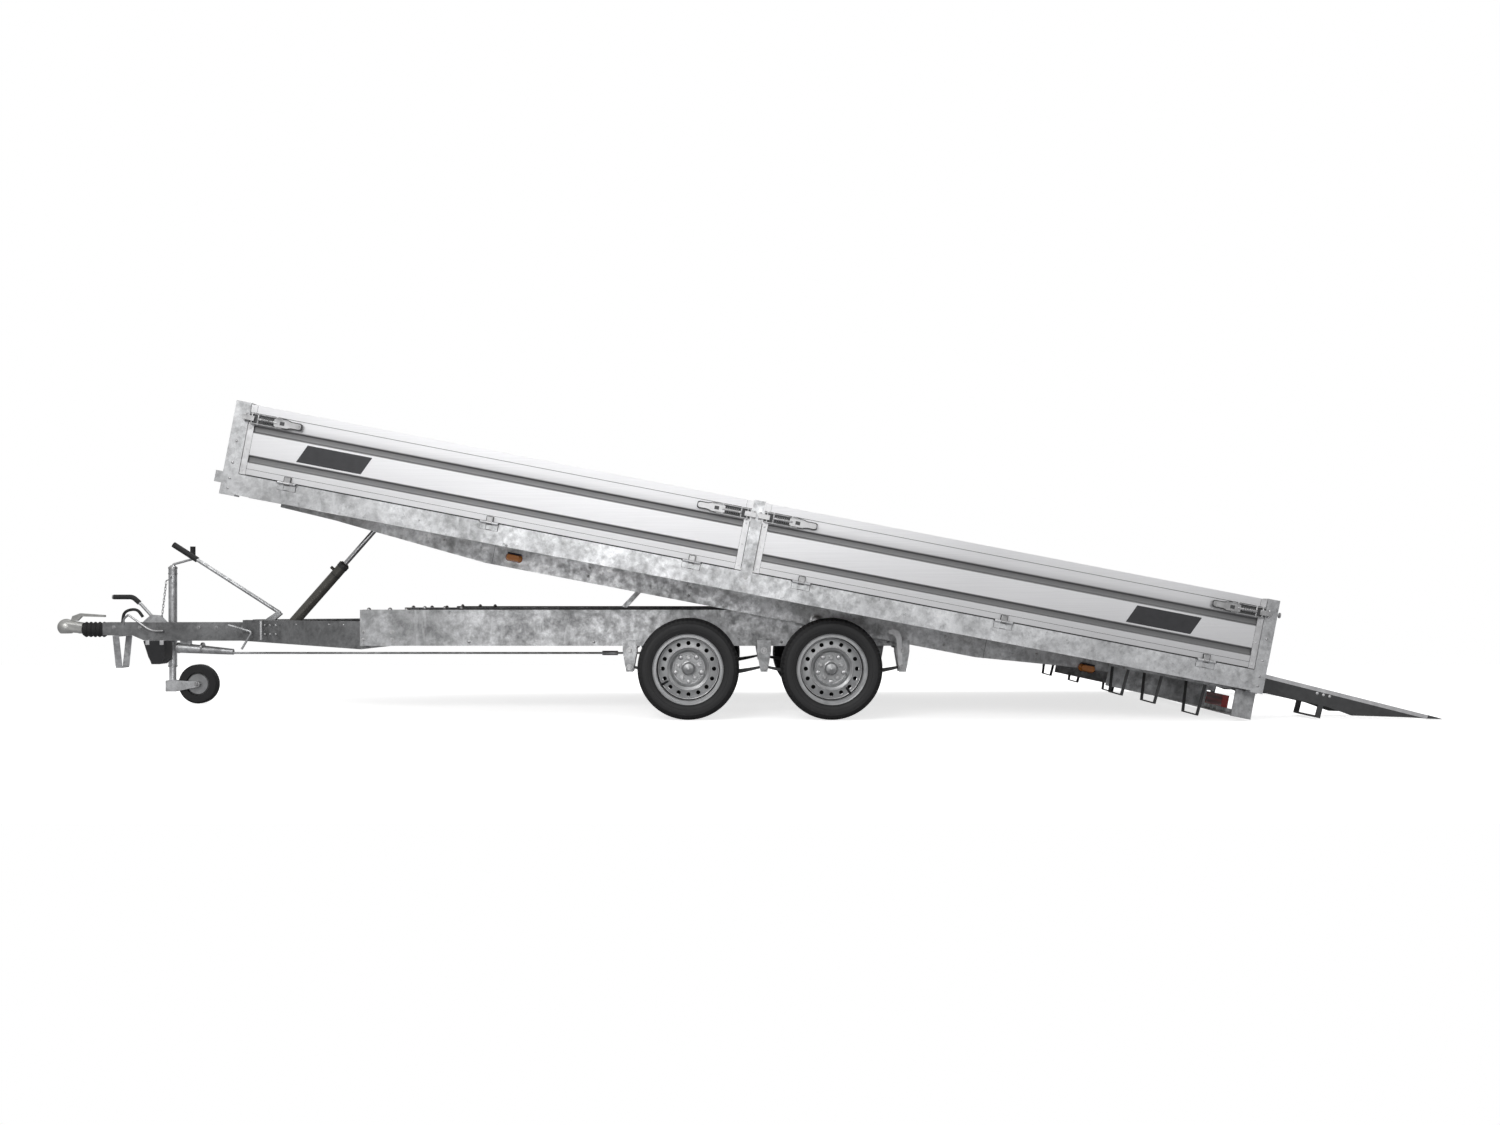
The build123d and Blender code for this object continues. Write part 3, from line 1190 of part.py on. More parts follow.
PLAIN_PARTS = (
    chassis_rails,
    rail_pads,
    chassis_cross_members,
    drawbar_arms,
    overrun_box,
    coupling_head,
    bellows,
    handbrake_lever,
    drawbar_hoop,
    wheel_chock,
    brake_linkage,
    hand_pump,
    jockey_tube,
    jockey_leg,
    jockey_fork,
    spring_hangers,
    leaf_springs,
    axles,
    lift_barrel,
    lift_rod,
    bed_side_rails,
    bed_beams,
    bed_cross_members,
    bed_floor,
    bed_hinges,
    bed_posts,
    front_wall,
    front_beam,
    tailgate,
    tailgate_fittings,
    rear_frame,
    ramp_stowage,
    ramp_hoops,
    side_lamps,
    tail_lamps,
    bed_prop,
)

os.makedirs("parts", exist_ok=True)

for build_part in PLAIN_PARTS:
    save(build_part.__name__, build_part())

save("jockey_tyre", jockey_wheel_ring(JOCKEY_WHEEL_R, JOCKEY_RIM_R, JOCKEY_WHEEL_WIDTH))
save("jockey_rim", jockey_wheel_ring(JOCKEY_RIM_R - RUNNING_GAP, 8 + RUNNING_GAP, JOCKEY_WHEEL_WIDTH - 12))

tyre_shape = tyre()
rim_shape = rim()
for axle_name, axle_x in (("front", -AXLE_SPACING / 2), ("rear", AXLE_SPACING / 2)):
    for side_name, side in (("far", 1), ("near", -1)):
        save(f"tyre_{axle_name}_{side_name}", at_wheel(tyre_shape, axle_x, side))
        save(f"rim_{axle_name}_{side_name}", at_wheel(rim_shape, axle_x, side))

for board_name, span in zip(("front", "rear"), BOARD_SPANS):
    board = side_board(*span)
    fittings = board_fittings(*span)
    save(f"board_{board_name}_far", on_bed(board))
    save(f"board_{board_name}_near", on_bed(mirror(board, about=Plane.XZ)))
    save(f"board_fittings_{board_name}_far", on_bed(fittings))
    save(f"board_fittings_{board_name}_near", on_bed(mirror(fittings, about=Plane.XZ)))

ramp_shape = ramp()
save("ramp_far", ramp_shape)
save("ramp_near", mirror(ramp_shape, about=Plane.XZ))

angle, length = cylinder_geometry()
print("centre shift", -MIDDLE_X, "cylinder", angle, length, "ramp", math.degrees(RAMP_ANGLE))
print("ramp pivot", RAMP_X - MIDDLE_X, RAMP_Z, "tip", TIP_X - MIDDLE_X)
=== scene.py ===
import math

import bpy
from mathutils import Matrix, Vector


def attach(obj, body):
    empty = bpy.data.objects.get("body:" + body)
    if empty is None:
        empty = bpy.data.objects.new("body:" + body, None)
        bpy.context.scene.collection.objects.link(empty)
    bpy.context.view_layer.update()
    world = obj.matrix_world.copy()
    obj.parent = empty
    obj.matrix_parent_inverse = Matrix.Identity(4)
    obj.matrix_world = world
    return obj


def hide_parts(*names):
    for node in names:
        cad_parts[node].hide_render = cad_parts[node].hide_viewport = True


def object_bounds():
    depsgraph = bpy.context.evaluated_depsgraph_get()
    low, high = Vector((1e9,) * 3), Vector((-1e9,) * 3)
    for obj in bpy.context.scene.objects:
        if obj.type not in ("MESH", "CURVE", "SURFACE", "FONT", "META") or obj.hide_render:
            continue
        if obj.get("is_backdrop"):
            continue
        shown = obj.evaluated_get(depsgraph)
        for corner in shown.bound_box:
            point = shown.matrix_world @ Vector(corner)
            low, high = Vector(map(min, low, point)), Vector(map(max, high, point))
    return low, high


# Looks for the tilt-bed trailer. Everything is in metres in the part's own frame:
# X to the rear, the near side at -Y, Z up from the ground. On the tilted bed, u runs
# to the rear along the floor and n up from it, both counted from the bed's pivot.
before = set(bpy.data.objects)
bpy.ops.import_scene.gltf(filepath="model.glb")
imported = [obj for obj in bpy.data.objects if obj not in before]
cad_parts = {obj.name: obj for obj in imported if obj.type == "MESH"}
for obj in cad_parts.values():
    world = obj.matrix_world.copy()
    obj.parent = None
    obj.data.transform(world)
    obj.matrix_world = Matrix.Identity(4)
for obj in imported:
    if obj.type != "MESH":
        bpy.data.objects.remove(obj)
cad_low, cad_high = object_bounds()

PIVOT_X = 0.586004
PIVOT_Z = 0.505
TILT = math.radians(10.9)
BED = Matrix.Translation((PIVOT_X, 0, PIVOT_Z)) @ Matrix.Rotation(TILT, 4, "Y")
WORLD = Matrix.Identity(4)

FLOOR_N = 0.180
BOARD_LOW = 0.181
BOARD_HIGH = 0.535
BOARD_FACE_Y = 1.087
POST_Y = 1.090
BOARDS = {"front": (-3.014, -0.451), "rear": (-0.387, 2.176)}
SIDES = {"near": -1, "far": 1}
WASHER = 0.0015
SHARP_ANGLE = math.radians(38)


# Materials

# X range over which the zinc's painted shade fades from its darkened front to full tone
PAINTED_FRONT_SHADE_X = (-3.0, -1.4)
# Heights on the bed between which the board's painted shade runs
PAINTED_SHADE_RANGE = (0.18, 0.54)
# Share of that height, grey level of the painted shade, darkest in the two grooves
BOARD_PAINTED_SHADE = (
    (0.000, 0.74),
    (0.172, 0.80),
    (0.180, 0.36),
    (0.215, 0.25),
    (0.262, 0.18),
    (0.284, 0.22),
    (0.292, 0.84),
    (0.590, 0.90),
    (0.598, 0.38),
    (0.640, 0.25),
    (0.692, 0.16),
    (0.706, 0.22),
    (0.720, 0.66),
    (0.800, 0.84),
    (1.000, 0.90),
)


class Shader:
    """A material's node tree with short ways to add nodes."""

    def __init__(self, name):
        self.material = bpy.data.materials.new(name)
        self.material.use_nodes = True
        self.nodes = self.material.node_tree.nodes
        self.links = self.material.node_tree.links
        self.surface = self.nodes["Principled BSDF"]

    def add(self, kind, **values):
        node = self.nodes.new(kind)
        for key, value in values.items():
            setattr(node, key, value)
        return node

    def link(self, source, target):
        self.links.new(source, target)

    def coordinates(self, turn=0.0, scale=(1, 1, 1)):
        place = self.add("ShaderNodeTexCoord")
        mapping = self.add("ShaderNodeMapping")
        mapping.inputs["Rotation"].default_value = (0, turn, 0)
        mapping.inputs["Scale"].default_value = scale
        self.link(place.outputs["Object"], mapping.inputs["Vector"])
        return mapping.outputs["Vector"]

    def noise(self, vector, scale, detail=4.0, roughness=0.55):
        node = self.add("ShaderNodeTexNoise")
        node.inputs["Scale"].default_value = scale
        node.inputs["Detail"].default_value = detail
        node.inputs["Roughness"].default_value = roughness
        self.link(vector, node.inputs["Vector"])
        return node.outputs["Fac"]

    def cells(self, vector, scale):
        node = self.add("ShaderNodeTexVoronoi")
        node.inputs["Scale"].default_value = scale
        self.link(vector, node.inputs["Vector"])
        split = self.add("ShaderNodeSeparateColor")
        self.link(node.outputs["Color"], split.inputs["Color"])
        return split.outputs["Red"]

    def ranged(self, value, low, high, to_low, to_high):
        node = self.add("ShaderNodeMapRange")
        self.link(value, node.inputs["Value"])
        for key, number in zip(("From Min", "From Max", "To Min", "To Max"), (low, high, to_low, to_high)):
            node.inputs[key].default_value = number
        return node.outputs["Result"]

    def math(self, operation, first, second):
        node = self.add("ShaderNodeMath", operation=operation)
        for index, value in enumerate((first, second)):
            if isinstance(value, (int, float)):
                node.inputs[index].default_value = value
            else:
                self.link(value, node.inputs[index])
        return node.outputs[0]

    def mix(self, factor, first, second):
        node = self.add("ShaderNodeMix", data_type="RGBA")
        self.link(factor, node.inputs["Factor"])
        for name, value in (("A", first), ("B", second)):
            socket = [s for s in node.inputs if s.name == name and s.type == "RGBA"][0]
            if isinstance(value, tuple):
                socket.default_value = (*value, 1)
            else:
                self.link(value, socket)
        return [s for s in node.outputs if s.type == "RGBA"][0]

    def grey(self, value, tint=(1.0, 1.0, 1.0)):
        node = self.add("ShaderNodeCombineColor")
        for key, part in zip(("Red", "Green", "Blue"), tint):
            self.link(self.math("MULTIPLY", value, part), node.inputs[key])
        return node.outputs["Color"]

    def bump(self, height, strength, distance):
        node = self.add("ShaderNodeBump")
        node.inputs["Strength"].default_value = strength
        node.inputs["Distance"].default_value = distance
        self.link(height, node.inputs["Height"])
        self.link(node.outputs["Normal"], self.surface.inputs["Normal"])

    def colour(self, source):
        self.link(source, self.surface.inputs["Base Color"])

    def rough(self, source):
        self.link(source, self.surface.inputs["Roughness"])


def plain(name, colour, roughness=0.5, metallic=0.0):
    """A single colour with slight mottling."""
    made = Shader(name)
    grain = made.noise(made.coordinates(), 26.0)
    level = made.ranged(grain, 0.3, 0.7, 0.86, 1.1)
    made.colour(made.grey(level, colour))
    made.rough(made.ranged(grain, 0.3, 0.7, roughness - 0.06, roughness + 0.08))
    made.surface.inputs["Metallic"].default_value = metallic
    return made.material


def galvanised(name, level, turn=0.0, stain=0.5, front_painted_shade=1.0):
    """Hot-dip zinc: spangle, cloudy patches, pale bloom and a few dark runs, with painted shade darkening the
    front.
    """
    made = Shader(name)
    place = made.coordinates(turn)
    spangle = made.ranged(made.cells(place, 58.0), 0.0, 1.0, 0.90, 1.08)
    clouds = made.ranged(made.noise(place, 3.6, 6.0), 0.34, 0.68, 0.64, 1.18)
    mottle = made.ranged(made.noise(place, 24.0, 6.0, 0.66), 0.34, 0.66, 0.70, 1.24)
    tone = made.math("MULTIPLY", made.math("MULTIPLY", spangle, clouds), mottle)
    split = made.add("ShaderNodeSeparateXYZ")
    made.link(place, split.inputs["Vector"])
    # Painted shade: the zinc is darker towards the front
    tone = made.math("MULTIPLY", tone, made.ranged(split.outputs["X"], *PAINTED_FRONT_SHADE_X, front_painted_shade, 1.0))
    base = made.grey(made.math("MULTIPLY", tone, level), (0.975, 0.985, 1.0))
    streaks = made.noise(made.coordinates(turn, (7.0, 7.0, 1.6)), 2.6, 5.0, 0.6)
    bloom = made.ranged(streaks, 0.56, 0.70, 0.0, stain)
    pale = made.mix(bloom, base, (0.80, 0.81, 0.82))
    runs = made.ranged(made.noise(place, 19.0, 8.0, 0.70), 0.62, 0.72, 0.0, 0.80)
    made.colour(made.mix(runs, pale, (0.16, 0.165, 0.17)))
    made.rough(made.ranged(mottle, 0.82, 1.14, 0.50, 0.34))
    made.surface.inputs["Metallic"].default_value = 0.72
    made.bump(made.noise(place, 46.0, 3.0), 0.12, 0.002)
    return made.material


def board_metal():
    """Anodised board: long brushed streaks, with painted shade darkening it where the two grooves run."""
    made = Shader("aluminium")
    along = made.coordinates(-TILT, (0.35, 1.0, 60.0))
    brushed = made.ranged(made.noise(along, 8.0, 3.0), 0.3, 0.7, 0.95, 1.03)
    clouds = made.ranged(made.noise(made.coordinates(-TILT, (0.5, 1, 1)), 1.6, 2.0), 0.3, 0.7, 0.94, 1.05)
    place = made.add("ShaderNodeTexCoord")
    split = made.add("ShaderNodeSeparateXYZ")
    made.link(place.outputs["Object"], split.inputs["Vector"])
    lean = made.math("MULTIPLY", made.math("SUBTRACT", split.outputs["X"], PIVOT_X), math.sin(TILT))
    rise = made.math("MULTIPLY", made.math("SUBTRACT", split.outputs["Z"], PIVOT_Z), math.cos(TILT))
    height = made.math("ADD", lean, rise)
    # Painted shade: grey levels over the board's height, dark in the two grooves
    ramp = made.add("ShaderNodeValToRGB")
    made.link(made.ranged(height, *PAINTED_SHADE_RANGE, 0.0, 1.0), ramp.inputs["Fac"])
    elements = ramp.color_ramp.elements
    while len(elements) < len(BOARD_PAINTED_SHADE):
        elements.new(0.5)
    for element, (share, level) in zip(elements, BOARD_PAINTED_SHADE):
        element.position = share
        element.color = (level, level, level, 1)
    tone = made.math("MULTIPLY", brushed, clouds)
    made.colour(made.grey(made.math("MULTIPLY", tone, ramp.outputs["Color"]), (0.985, 0.985, 1.0)))
    made.rough(made.ranged(brushed, 0.95, 1.03, 0.46, 0.36))
    made.surface.inputs["Metallic"].default_value = 0.55
    return made.material


def plywood():
    """Brown phenolic floor with grain along the bed."""
    made = Shader("plywood")
    grain = made.noise(made.coordinates(-TILT, (0.6, 9.0, 1.0)), 7.0, 6.0)
    made.colour(made.mix(grain, (0.10, 0.052, 0.026), (0.21, 0.118, 0.062)))
    mesh_pattern = made.cells(made.coordinates(-TILT), 120.0)
    made.rough(made.ranged(mesh_pattern, 0.0, 1.0, 0.40, 0.56))
    made.bump(mesh_pattern, 0.25, 0.001)
    return made.material


def lens(name, colour):
    """A moulded lamp lens."""
    made = Shader(name)
    ribs = made.add("ShaderNodeTexWave", wave_type="BANDS", bands_direction="X")
    ribs.inputs["Scale"].default_value = 60.0
    made.link(made.coordinates(), ribs.inputs["Vector"])
    level = made.ranged(ribs.outputs["Fac"], 0.0, 1.0, 0.72, 1.1)
    made.colour(made.grey(level, colour))
    made.surface.inputs["Roughness"].default_value = 0.16
    made.surface.inputs["Coat Weight"].default_value = 0.6
    return made.material


MATERIALS = {
    # The last number of each zinc sets how far painted shade darkens its front
    "galvanised": galvanised("galvanised", 0.60, 0.0, 0.5, 0.45),
    "bed_zinc": galvanised("galvanised_bed", 0.80, TILT, 0.62, 0.62),
    # Painted shade: the drawbar's zinc is kept dark by its low level
    "shaded_bar_zinc": galvanised("galvanised_drawbar_shaded", 0.33, 0.0, 0.12),
    "front_shaded_beam_zinc": galvanised("galvanised_beams_front_shaded", 0.80, TILT, 0.62, 0.12),
    "small_zinc": galvanised("galvanised_small", 0.74, 0.0, 0.35),
    "aluminium": board_metal(),
    "plate": plain("aluminium_trim", (0.80, 0.80, 0.81), 0.36, 0.7),
    "cast": plain("cast", (0.60, 0.60, 0.58), 0.40, 0.85),
    "bright": plain("bright_zinc", (0.58, 0.58, 0.585), 0.33, 0.95),
    "black_steel": plain("black_steel", (0.085, 0.086, 0.088), 0.46, 0.25),
    "wheel_silver": plain("wheel_silver", (0.43, 0.435, 0.44), 0.38, 0.7),
    "tyre": plain("tyre", (0.020, 0.020, 0.021), 0.62),
    "rubber": plain("rubber", (0.022, 0.022, 0.023), 0.66),
    "cylinder_paint": plain("cylinder_paint", (0.155, 0.150, 0.135), 0.36, 0.55),
    "chrome": plain("chrome", (0.62, 0.62, 0.63), 0.14, 1.0),
    "plywood": plywood(),
    "black_plastic": plain("black_plastic", (0.026, 0.026, 0.028), 0.44),
    "amber_lens": lens("amber_lens", (0.80, 0.25, 0.015)),
    "red_lens": lens("red_lens", (0.55, 0.016, 0.012)),
    "label": plain("label", (0.040, 0.040, 0.044), 0.42),
}

# CAD nodes whose zinc isn't the chassis rails' own
ZINC_NODES = {
    "front_shaded_beam_zinc": ["bed_beams"],
    "bed_zinc": ["bed_side_rails", "bed_posts", "bed_cross_members", "front_beam"],
    "shaded_bar_zinc": ["drawbar_arms", "overrun_box"],
    "small_zinc": ["drawbar_hoop", "jockey_tube", "handbrake_lever", "hand_pump"],
}
ZINC_NODES["bed_zinc"] += ["rear_frame", "bed_hinges", "bed_prop"]
ZINC_NODES["small_zinc"] += ["brake_linkage", "jockey_leg", "jockey_fork"]
OWN_ZINC = {node: zinc for zinc, nodes in ZINC_NODES.items() for node in nodes}

for node_name, node_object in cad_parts.items():
    for place in node_object.material_slots:
        key = place.material.name.split(".")[0]
        if key == "galvanised":
            key = OWN_ZINC.get(node_name, key)
        if key in MATERIALS:
            place.material = MATERIALS[key]


# Meshes

class Sketch:
    """Collects simple solids into one mesh."""

    def __init__(self, matrix=WORLD):
        self.matrix = matrix
        self.points = []
        self.faces = []

    def add(self, points, faces):
        first = len(self.points)
        self.points += [self.matrix @ Vector(p) for p in points]
        self.faces += [[first + i for i in face] for face in faces]

    def box(self, x, y, z):
        corners = [(a, b, c) for a in x for b in y for c in z]
        faces = [(0, 1, 3, 2), (4, 6, 7, 5), (0, 4, 5, 1), (2, 3, 7, 6), (0, 2, 6, 4), (1, 5, 7, 3)]
        self.add(corners, faces)

    def plate(self, outline, y):
        """An outline in X and Z, thick along Y."""
        count = len(outline)
        points = [(x, y[0], z) for x, z in outline] + [(x, y[1], z) for x, z in outline]
        faces = [list(range(count))[::-1], list(range(count, 2 * count))]
        faces += [(i, (i + 1) % count, count + (i + 1) % count, count + i) for i in range(count)]
        self.add(points, faces)

    def lathe(self, start, axis, profile, count=24):
        """A turned solid; profile gives (distance along the axis, radius)."""
        axis = Vector(axis).normalized()
        side = axis.orthogonal().normalized()
        other = axis.cross(side)
        start = Vector(start)
        points = []
        for along, radius in profile:
            for index in range(count):
                turn = 2 * math.pi * index / count
                ray = side * math.cos(turn) + other * math.sin(turn)
                points.append(start + axis * along + ray * radius)
        faces = [list(range(count))[::-1]]
        for ring in range(len(profile) - 1):
            a, b = ring * count, (ring + 1) * count
            for index in range(count):
                after = (index + 1) % count
                faces.append((a + index, a + after, b + after, b + index))
        last = (len(profile) - 1) * count
        faces.append(list(range(last, last + count)))
        self.add(points, faces)

    def rod(self, start, end, radius, count=16):
        length = (Vector(end) - Vector(start)).length
        self.lathe(start, Vector(end) - Vector(start), ((0, radius), (length, radius)), count)

    def tube(self, path, radius, count=14, closed=False):
        """A round bar along many points."""
        path = [Vector(p) for p in path]
        total = len(path)
        rings = []
        side = None
        for index, point in enumerate(path):
            before = path[index - 1] if index or closed else path[0]
            after = path[(index + 1) % total] if index < total - 1 or closed else path[-1]
            axis = (after - before).normalized()
            side = axis.orthogonal() if side is None else side - axis * side.dot(axis)
            side = side.normalized()
            other = axis.cross(side)
            turns = [2 * math.pi * k / count for k in range(count)]
            rings.append([point + (side * math.cos(t) + other * math.sin(t)) * radius for t in turns])
        points = [p for ring in rings for p in ring]
        faces = []
        for ring in range(total if closed else total - 1):
            a, b = ring * count, (ring + 1) % total * count
            for index in range(count):
                after = (index + 1) % count
                faces.append((a + index, a + after, b + after, b + index))
        if not closed:
            faces.append(list(range(count))[::-1])
            faces.append(list(range((total - 1) * count, total * count)))
        self.add(points, faces)

    def bolt(self, place, normal, radius=0.008, height=0.006):
        """A hexagon head on a washer."""
        normal = Vector(normal).normalized()
        self.lathe(place, normal, ((0, radius * 1.5), (WASHER, radius * 1.5)), 18)
        top = Vector(place) + normal * WASHER
        profile = ((0, radius), (height * 0.8, radius), (height, radius * 0.84))
        self.lathe(top, normal, profile, 6)

    def dome(self, place, normal, radius=0.008, height=0.005):
        """A round rivet head."""
        profile = [(height * math.sin(a), radius * math.cos(a)) for a in (0.0, 0.4, 0.8, 1.2, 1.5)]
        self.lathe(place, normal, profile, 16)

    def piece(self, name, material, slot, body, bevel=0.0, replaces=()):
        mesh = bpy.data.meshes.new(name)
        mesh.from_pydata([tuple(p) for p in self.points], [], self.faces)
        mesh.validate()
        mesh.update()
        for face in mesh.polygons:
            face.use_smooth = True
        mesh.set_sharp_from_angle(angle=SHARP_ANGLE)
        mesh.materials.append(MATERIALS[material])
        made = bpy.data.objects.new(name, mesh)
        bpy.context.scene.collection.objects.link(made)
        if bevel:
            rounding = made.modifiers.new("rounding", "BEVEL")
            rounding.width = bevel
            rounding.segments = 2
            rounding.limit_method = "ANGLE"
        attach(made, body)
        if replaces:
            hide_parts(*replaces)
        return made


def rounded(points, radius, steps=6):
    """A path through corners, each rounded by a short arc."""
    points = [Vector(p) for p in points]
    path = [points[0]]
    for before, corner, after in zip(points, points[1:], points[2:]):
        first = corner + (before - corner).normalized() * min(radius, (before - corner).length / 2)
        last = corner + (after - corner).normalized() * min(radius, (after - corner).length / 2)
        for step in range(steps + 1):
            t = step / steps
            path.append(first * (1 - t) ** 2 + corner * 2 * t * (1 - t) + last * t ** 2)
    path.append(points[-1])
    return path


# Drop boards: seams, painted shadow lines, end caps, blank plates, latches and hinge leaves

# Latch, in places along the board from its post and half widths off its middle line
LATCH_HALF = 0.026
LATCH_MIDDLE = BOARD_HIGH - 0.044 - LATCH_HALF
LATCH_BASE = (0.004, 0.196)
LATCH_LIPS = (0.010, 0.176)
# Painted shadow lines along the lips
LATCH_SHADOW_LINES = (0.002, 0.190)
LATCH_WELL = (0.008, 0.150)
LATCH_WELL_HALF = 0.021
LATCH_PINS = (0.020, 0.052, 0.146)
SPRING_START = 0.068
SPRING_PITCH = 0.009
SPRING_COILS = 7
SPRING_COIL = ((0, 0.012), (0.002, 0.0145), (0.004, 0.012))
SPRING_CORE = (0.050, 0.150)
BLADE = ((0.134, 0.017), (0.150, 0.021), (0.205, 0.019), (0.222, 0.014), (0.262, 0.014), (0.272, 0.009))
BLADE_TIP = 0.25
BLADE_CHEEKS = (0.142, 0.206)
BLADE_SLOT = (0.165, 0.188)
HOOK = ((-0.026, 0.013), (-0.026, -0.013), (0.034, -0.013), (0.034, 0.013))
HOOK_PIN = -0.016
# Hinge leaves, from the pin's middle
HINGE_INSET = 0.250
HINGE_N = 0.176
HINGE_Y = 1.102
LEAF_HALF = 0.015
LEAF_LOW = BOARD_LOW + 0.001
LEAF_DARK_HALF = 0.0175
PIN_DARK_HALF = 0.052
# Blank plates: middle along the bed, height, size and slant
PLATE_U = {"front": -2.558, "rear": 1.684}
PLATE_N = 0.338
PLATE_SIZE = (0.330, 0.092)
PLATE_SLANT = 0.042
# Seams: height of the middle, thickness
BOARD_SEAMS = ((BOARD_HIGH - 0.041, 0.0022), (BOARD_LOW + 0.031, 0.0016), (BOARD_LOW + 0.001, 0.003))
CAP_WIDTH = 0.030
CAP_THICK = 0.0012
CAP_RIVETS = (BOARD_LOW + 0.02, BOARD_LOW + 0.13, BOARD_LOW + 0.235)
POST_GAP = 0.002


def across_pair(side, near, far):
    """Places across, from the inner to the outer one, on the chosen side."""
    return sorted((side * near, side * far))


def latch(bright, dark, post, direction, side):
    """Over-centre latch at a board's end, drawn along the board from the post."""
    n = LATCH_MIDDLE

    def span(a, b):
        return sorted((post + direction * a, post + direction * b))

    def across(low, high):
        return across_pair(side, BOARD_FACE_Y + low, BOARD_FACE_Y + high)

    def point(along, out, height):
        return (post + direction * along, side * (BOARD_FACE_Y + out), height)

    bright.box(span(*LATCH_BASE), across(0, 0.004), (n - LATCH_HALF, n + LATCH_HALF))
    for edge in (-1, 1):
        low, high = sorted((n + edge * LATCH_HALF, n + edge * (LATCH_HALF - 0.004)))
        bright.box(span(*LATCH_LIPS), across(0, 0.024), (low, high))
        # Painted shadow: thin dark lines along the lips
        dark.box(span(*LATCH_SHADOW_LINES), across(0, 0.006), (high + 0.002, high + 0.004))
    dark.box(span(*LATCH_WELL), across(0.004, 0.016), (n - LATCH_WELL_HALF, n + LATCH_WELL_HALF))
    for along in LATCH_PINS:
        start = point(along, 0.019, n - LATCH_HALF - 0.003)
        end = point(along, 0.019, n + LATCH_HALF + 0.003)
        bright.rod(start, end, 0.0048, 12)
    for index in range(SPRING_COILS):
        coil = point(SPRING_START + SPRING_PITCH * index, 0.020, n)
        bright.lathe(coil, (direction, 0, 0), SPRING_COIL, 14)
    bright.rod(point(SPRING_CORE[0], 0.020, n), point(SPRING_CORE[1], 0.020, n), 0.008, 12)
    rim = [(a + 0.004 if a > BLADE_TIP else a, h + 0.0045) for a, h in BLADE]
    for layer, shape, low, high in ((dark, rim, 0.016, 0.0195), (bright, BLADE, 0.020, 0.026)):
        outline = [(post + direction * a, n + h) for a, h in shape]
        outline += [(post + direction * a, n - h) for a, h in reversed(shape)]
        layer.plate(outline, across(low, high))
    for edge in (-1, 1):
        cheek = sorted((n + edge * 0.021, n + edge * 0.017))
        bright.box(span(*BLADE_CHEEKS), across(0.010, 0.028), cheek)
    dark.box(span(*BLADE_SLOT), across(0.025, 0.0268), (n - 0.009, n + 0.009))
    outline = [(post + direction * a, n + h) for a, h in HOOK]
    bright.plate(outline, across(0.017, 0.027))
    bright.rod(point(HOOK_PIN, 0.012, n - 0.020), point(HOOK_PIN, 0.012, n + 0.020), 0.0062, 12)


def hinge_leaf(bright, dark, u, side):
    """The board's half of a strap hinge."""
    face = BOARD_FACE_Y
    leaf = (u - LEAF_HALF, u + LEAF_HALF)
    bright.box(leaf, across_pair(side, face, HINGE_Y - 0.006), (LEAF_LOW, LEAF_LOW + 0.025))
    bright.box(leaf, across_pair(side, HINGE_Y - 0.004, HINGE_Y), (HINGE_N, LEAF_LOW + 0.024))
    for layer, half, radius, count in ((bright, LEAF_HALF, 0.007, 16), (dark, PIN_DARK_HALF, 0.0035, 10)):
        start = (u - half, side * HINGE_Y, HINGE_N)
        end = (u + half, side * HINGE_Y, HINGE_N)
        layer.rod(start, end, radius, count)
    for edge in (-LEAF_DARK_HALF, 0.0155):
        upright = (u + edge, u + edge + 0.002)
        dark.box(upright, across_pair(side, face, HINGE_Y - 0.002), (HINGE_N, LEAF_LOW + 0.027))
    cover = (u - LEAF_DARK_HALF, u + LEAF_DARK_HALF)
    dark.box(cover, across_pair(side, face, HINGE_Y - 0.005), (LEAF_LOW + 0.025, LEAF_LOW + 0.027))


def plate_outline(centre):
    """A blank plate's slanted outline."""
    half, tall = PLATE_SIZE[0] / 2, PLATE_SIZE[1] / 2
    lean = PLATE_SLANT / 2
    return [
        (centre - half - lean, PLATE_N - tall),
        (centre + half - lean, PLATE_N - tall),
        (centre + half + lean, PLATE_N + tall),
        (centre - half + lean, PLATE_N + tall),
    ]


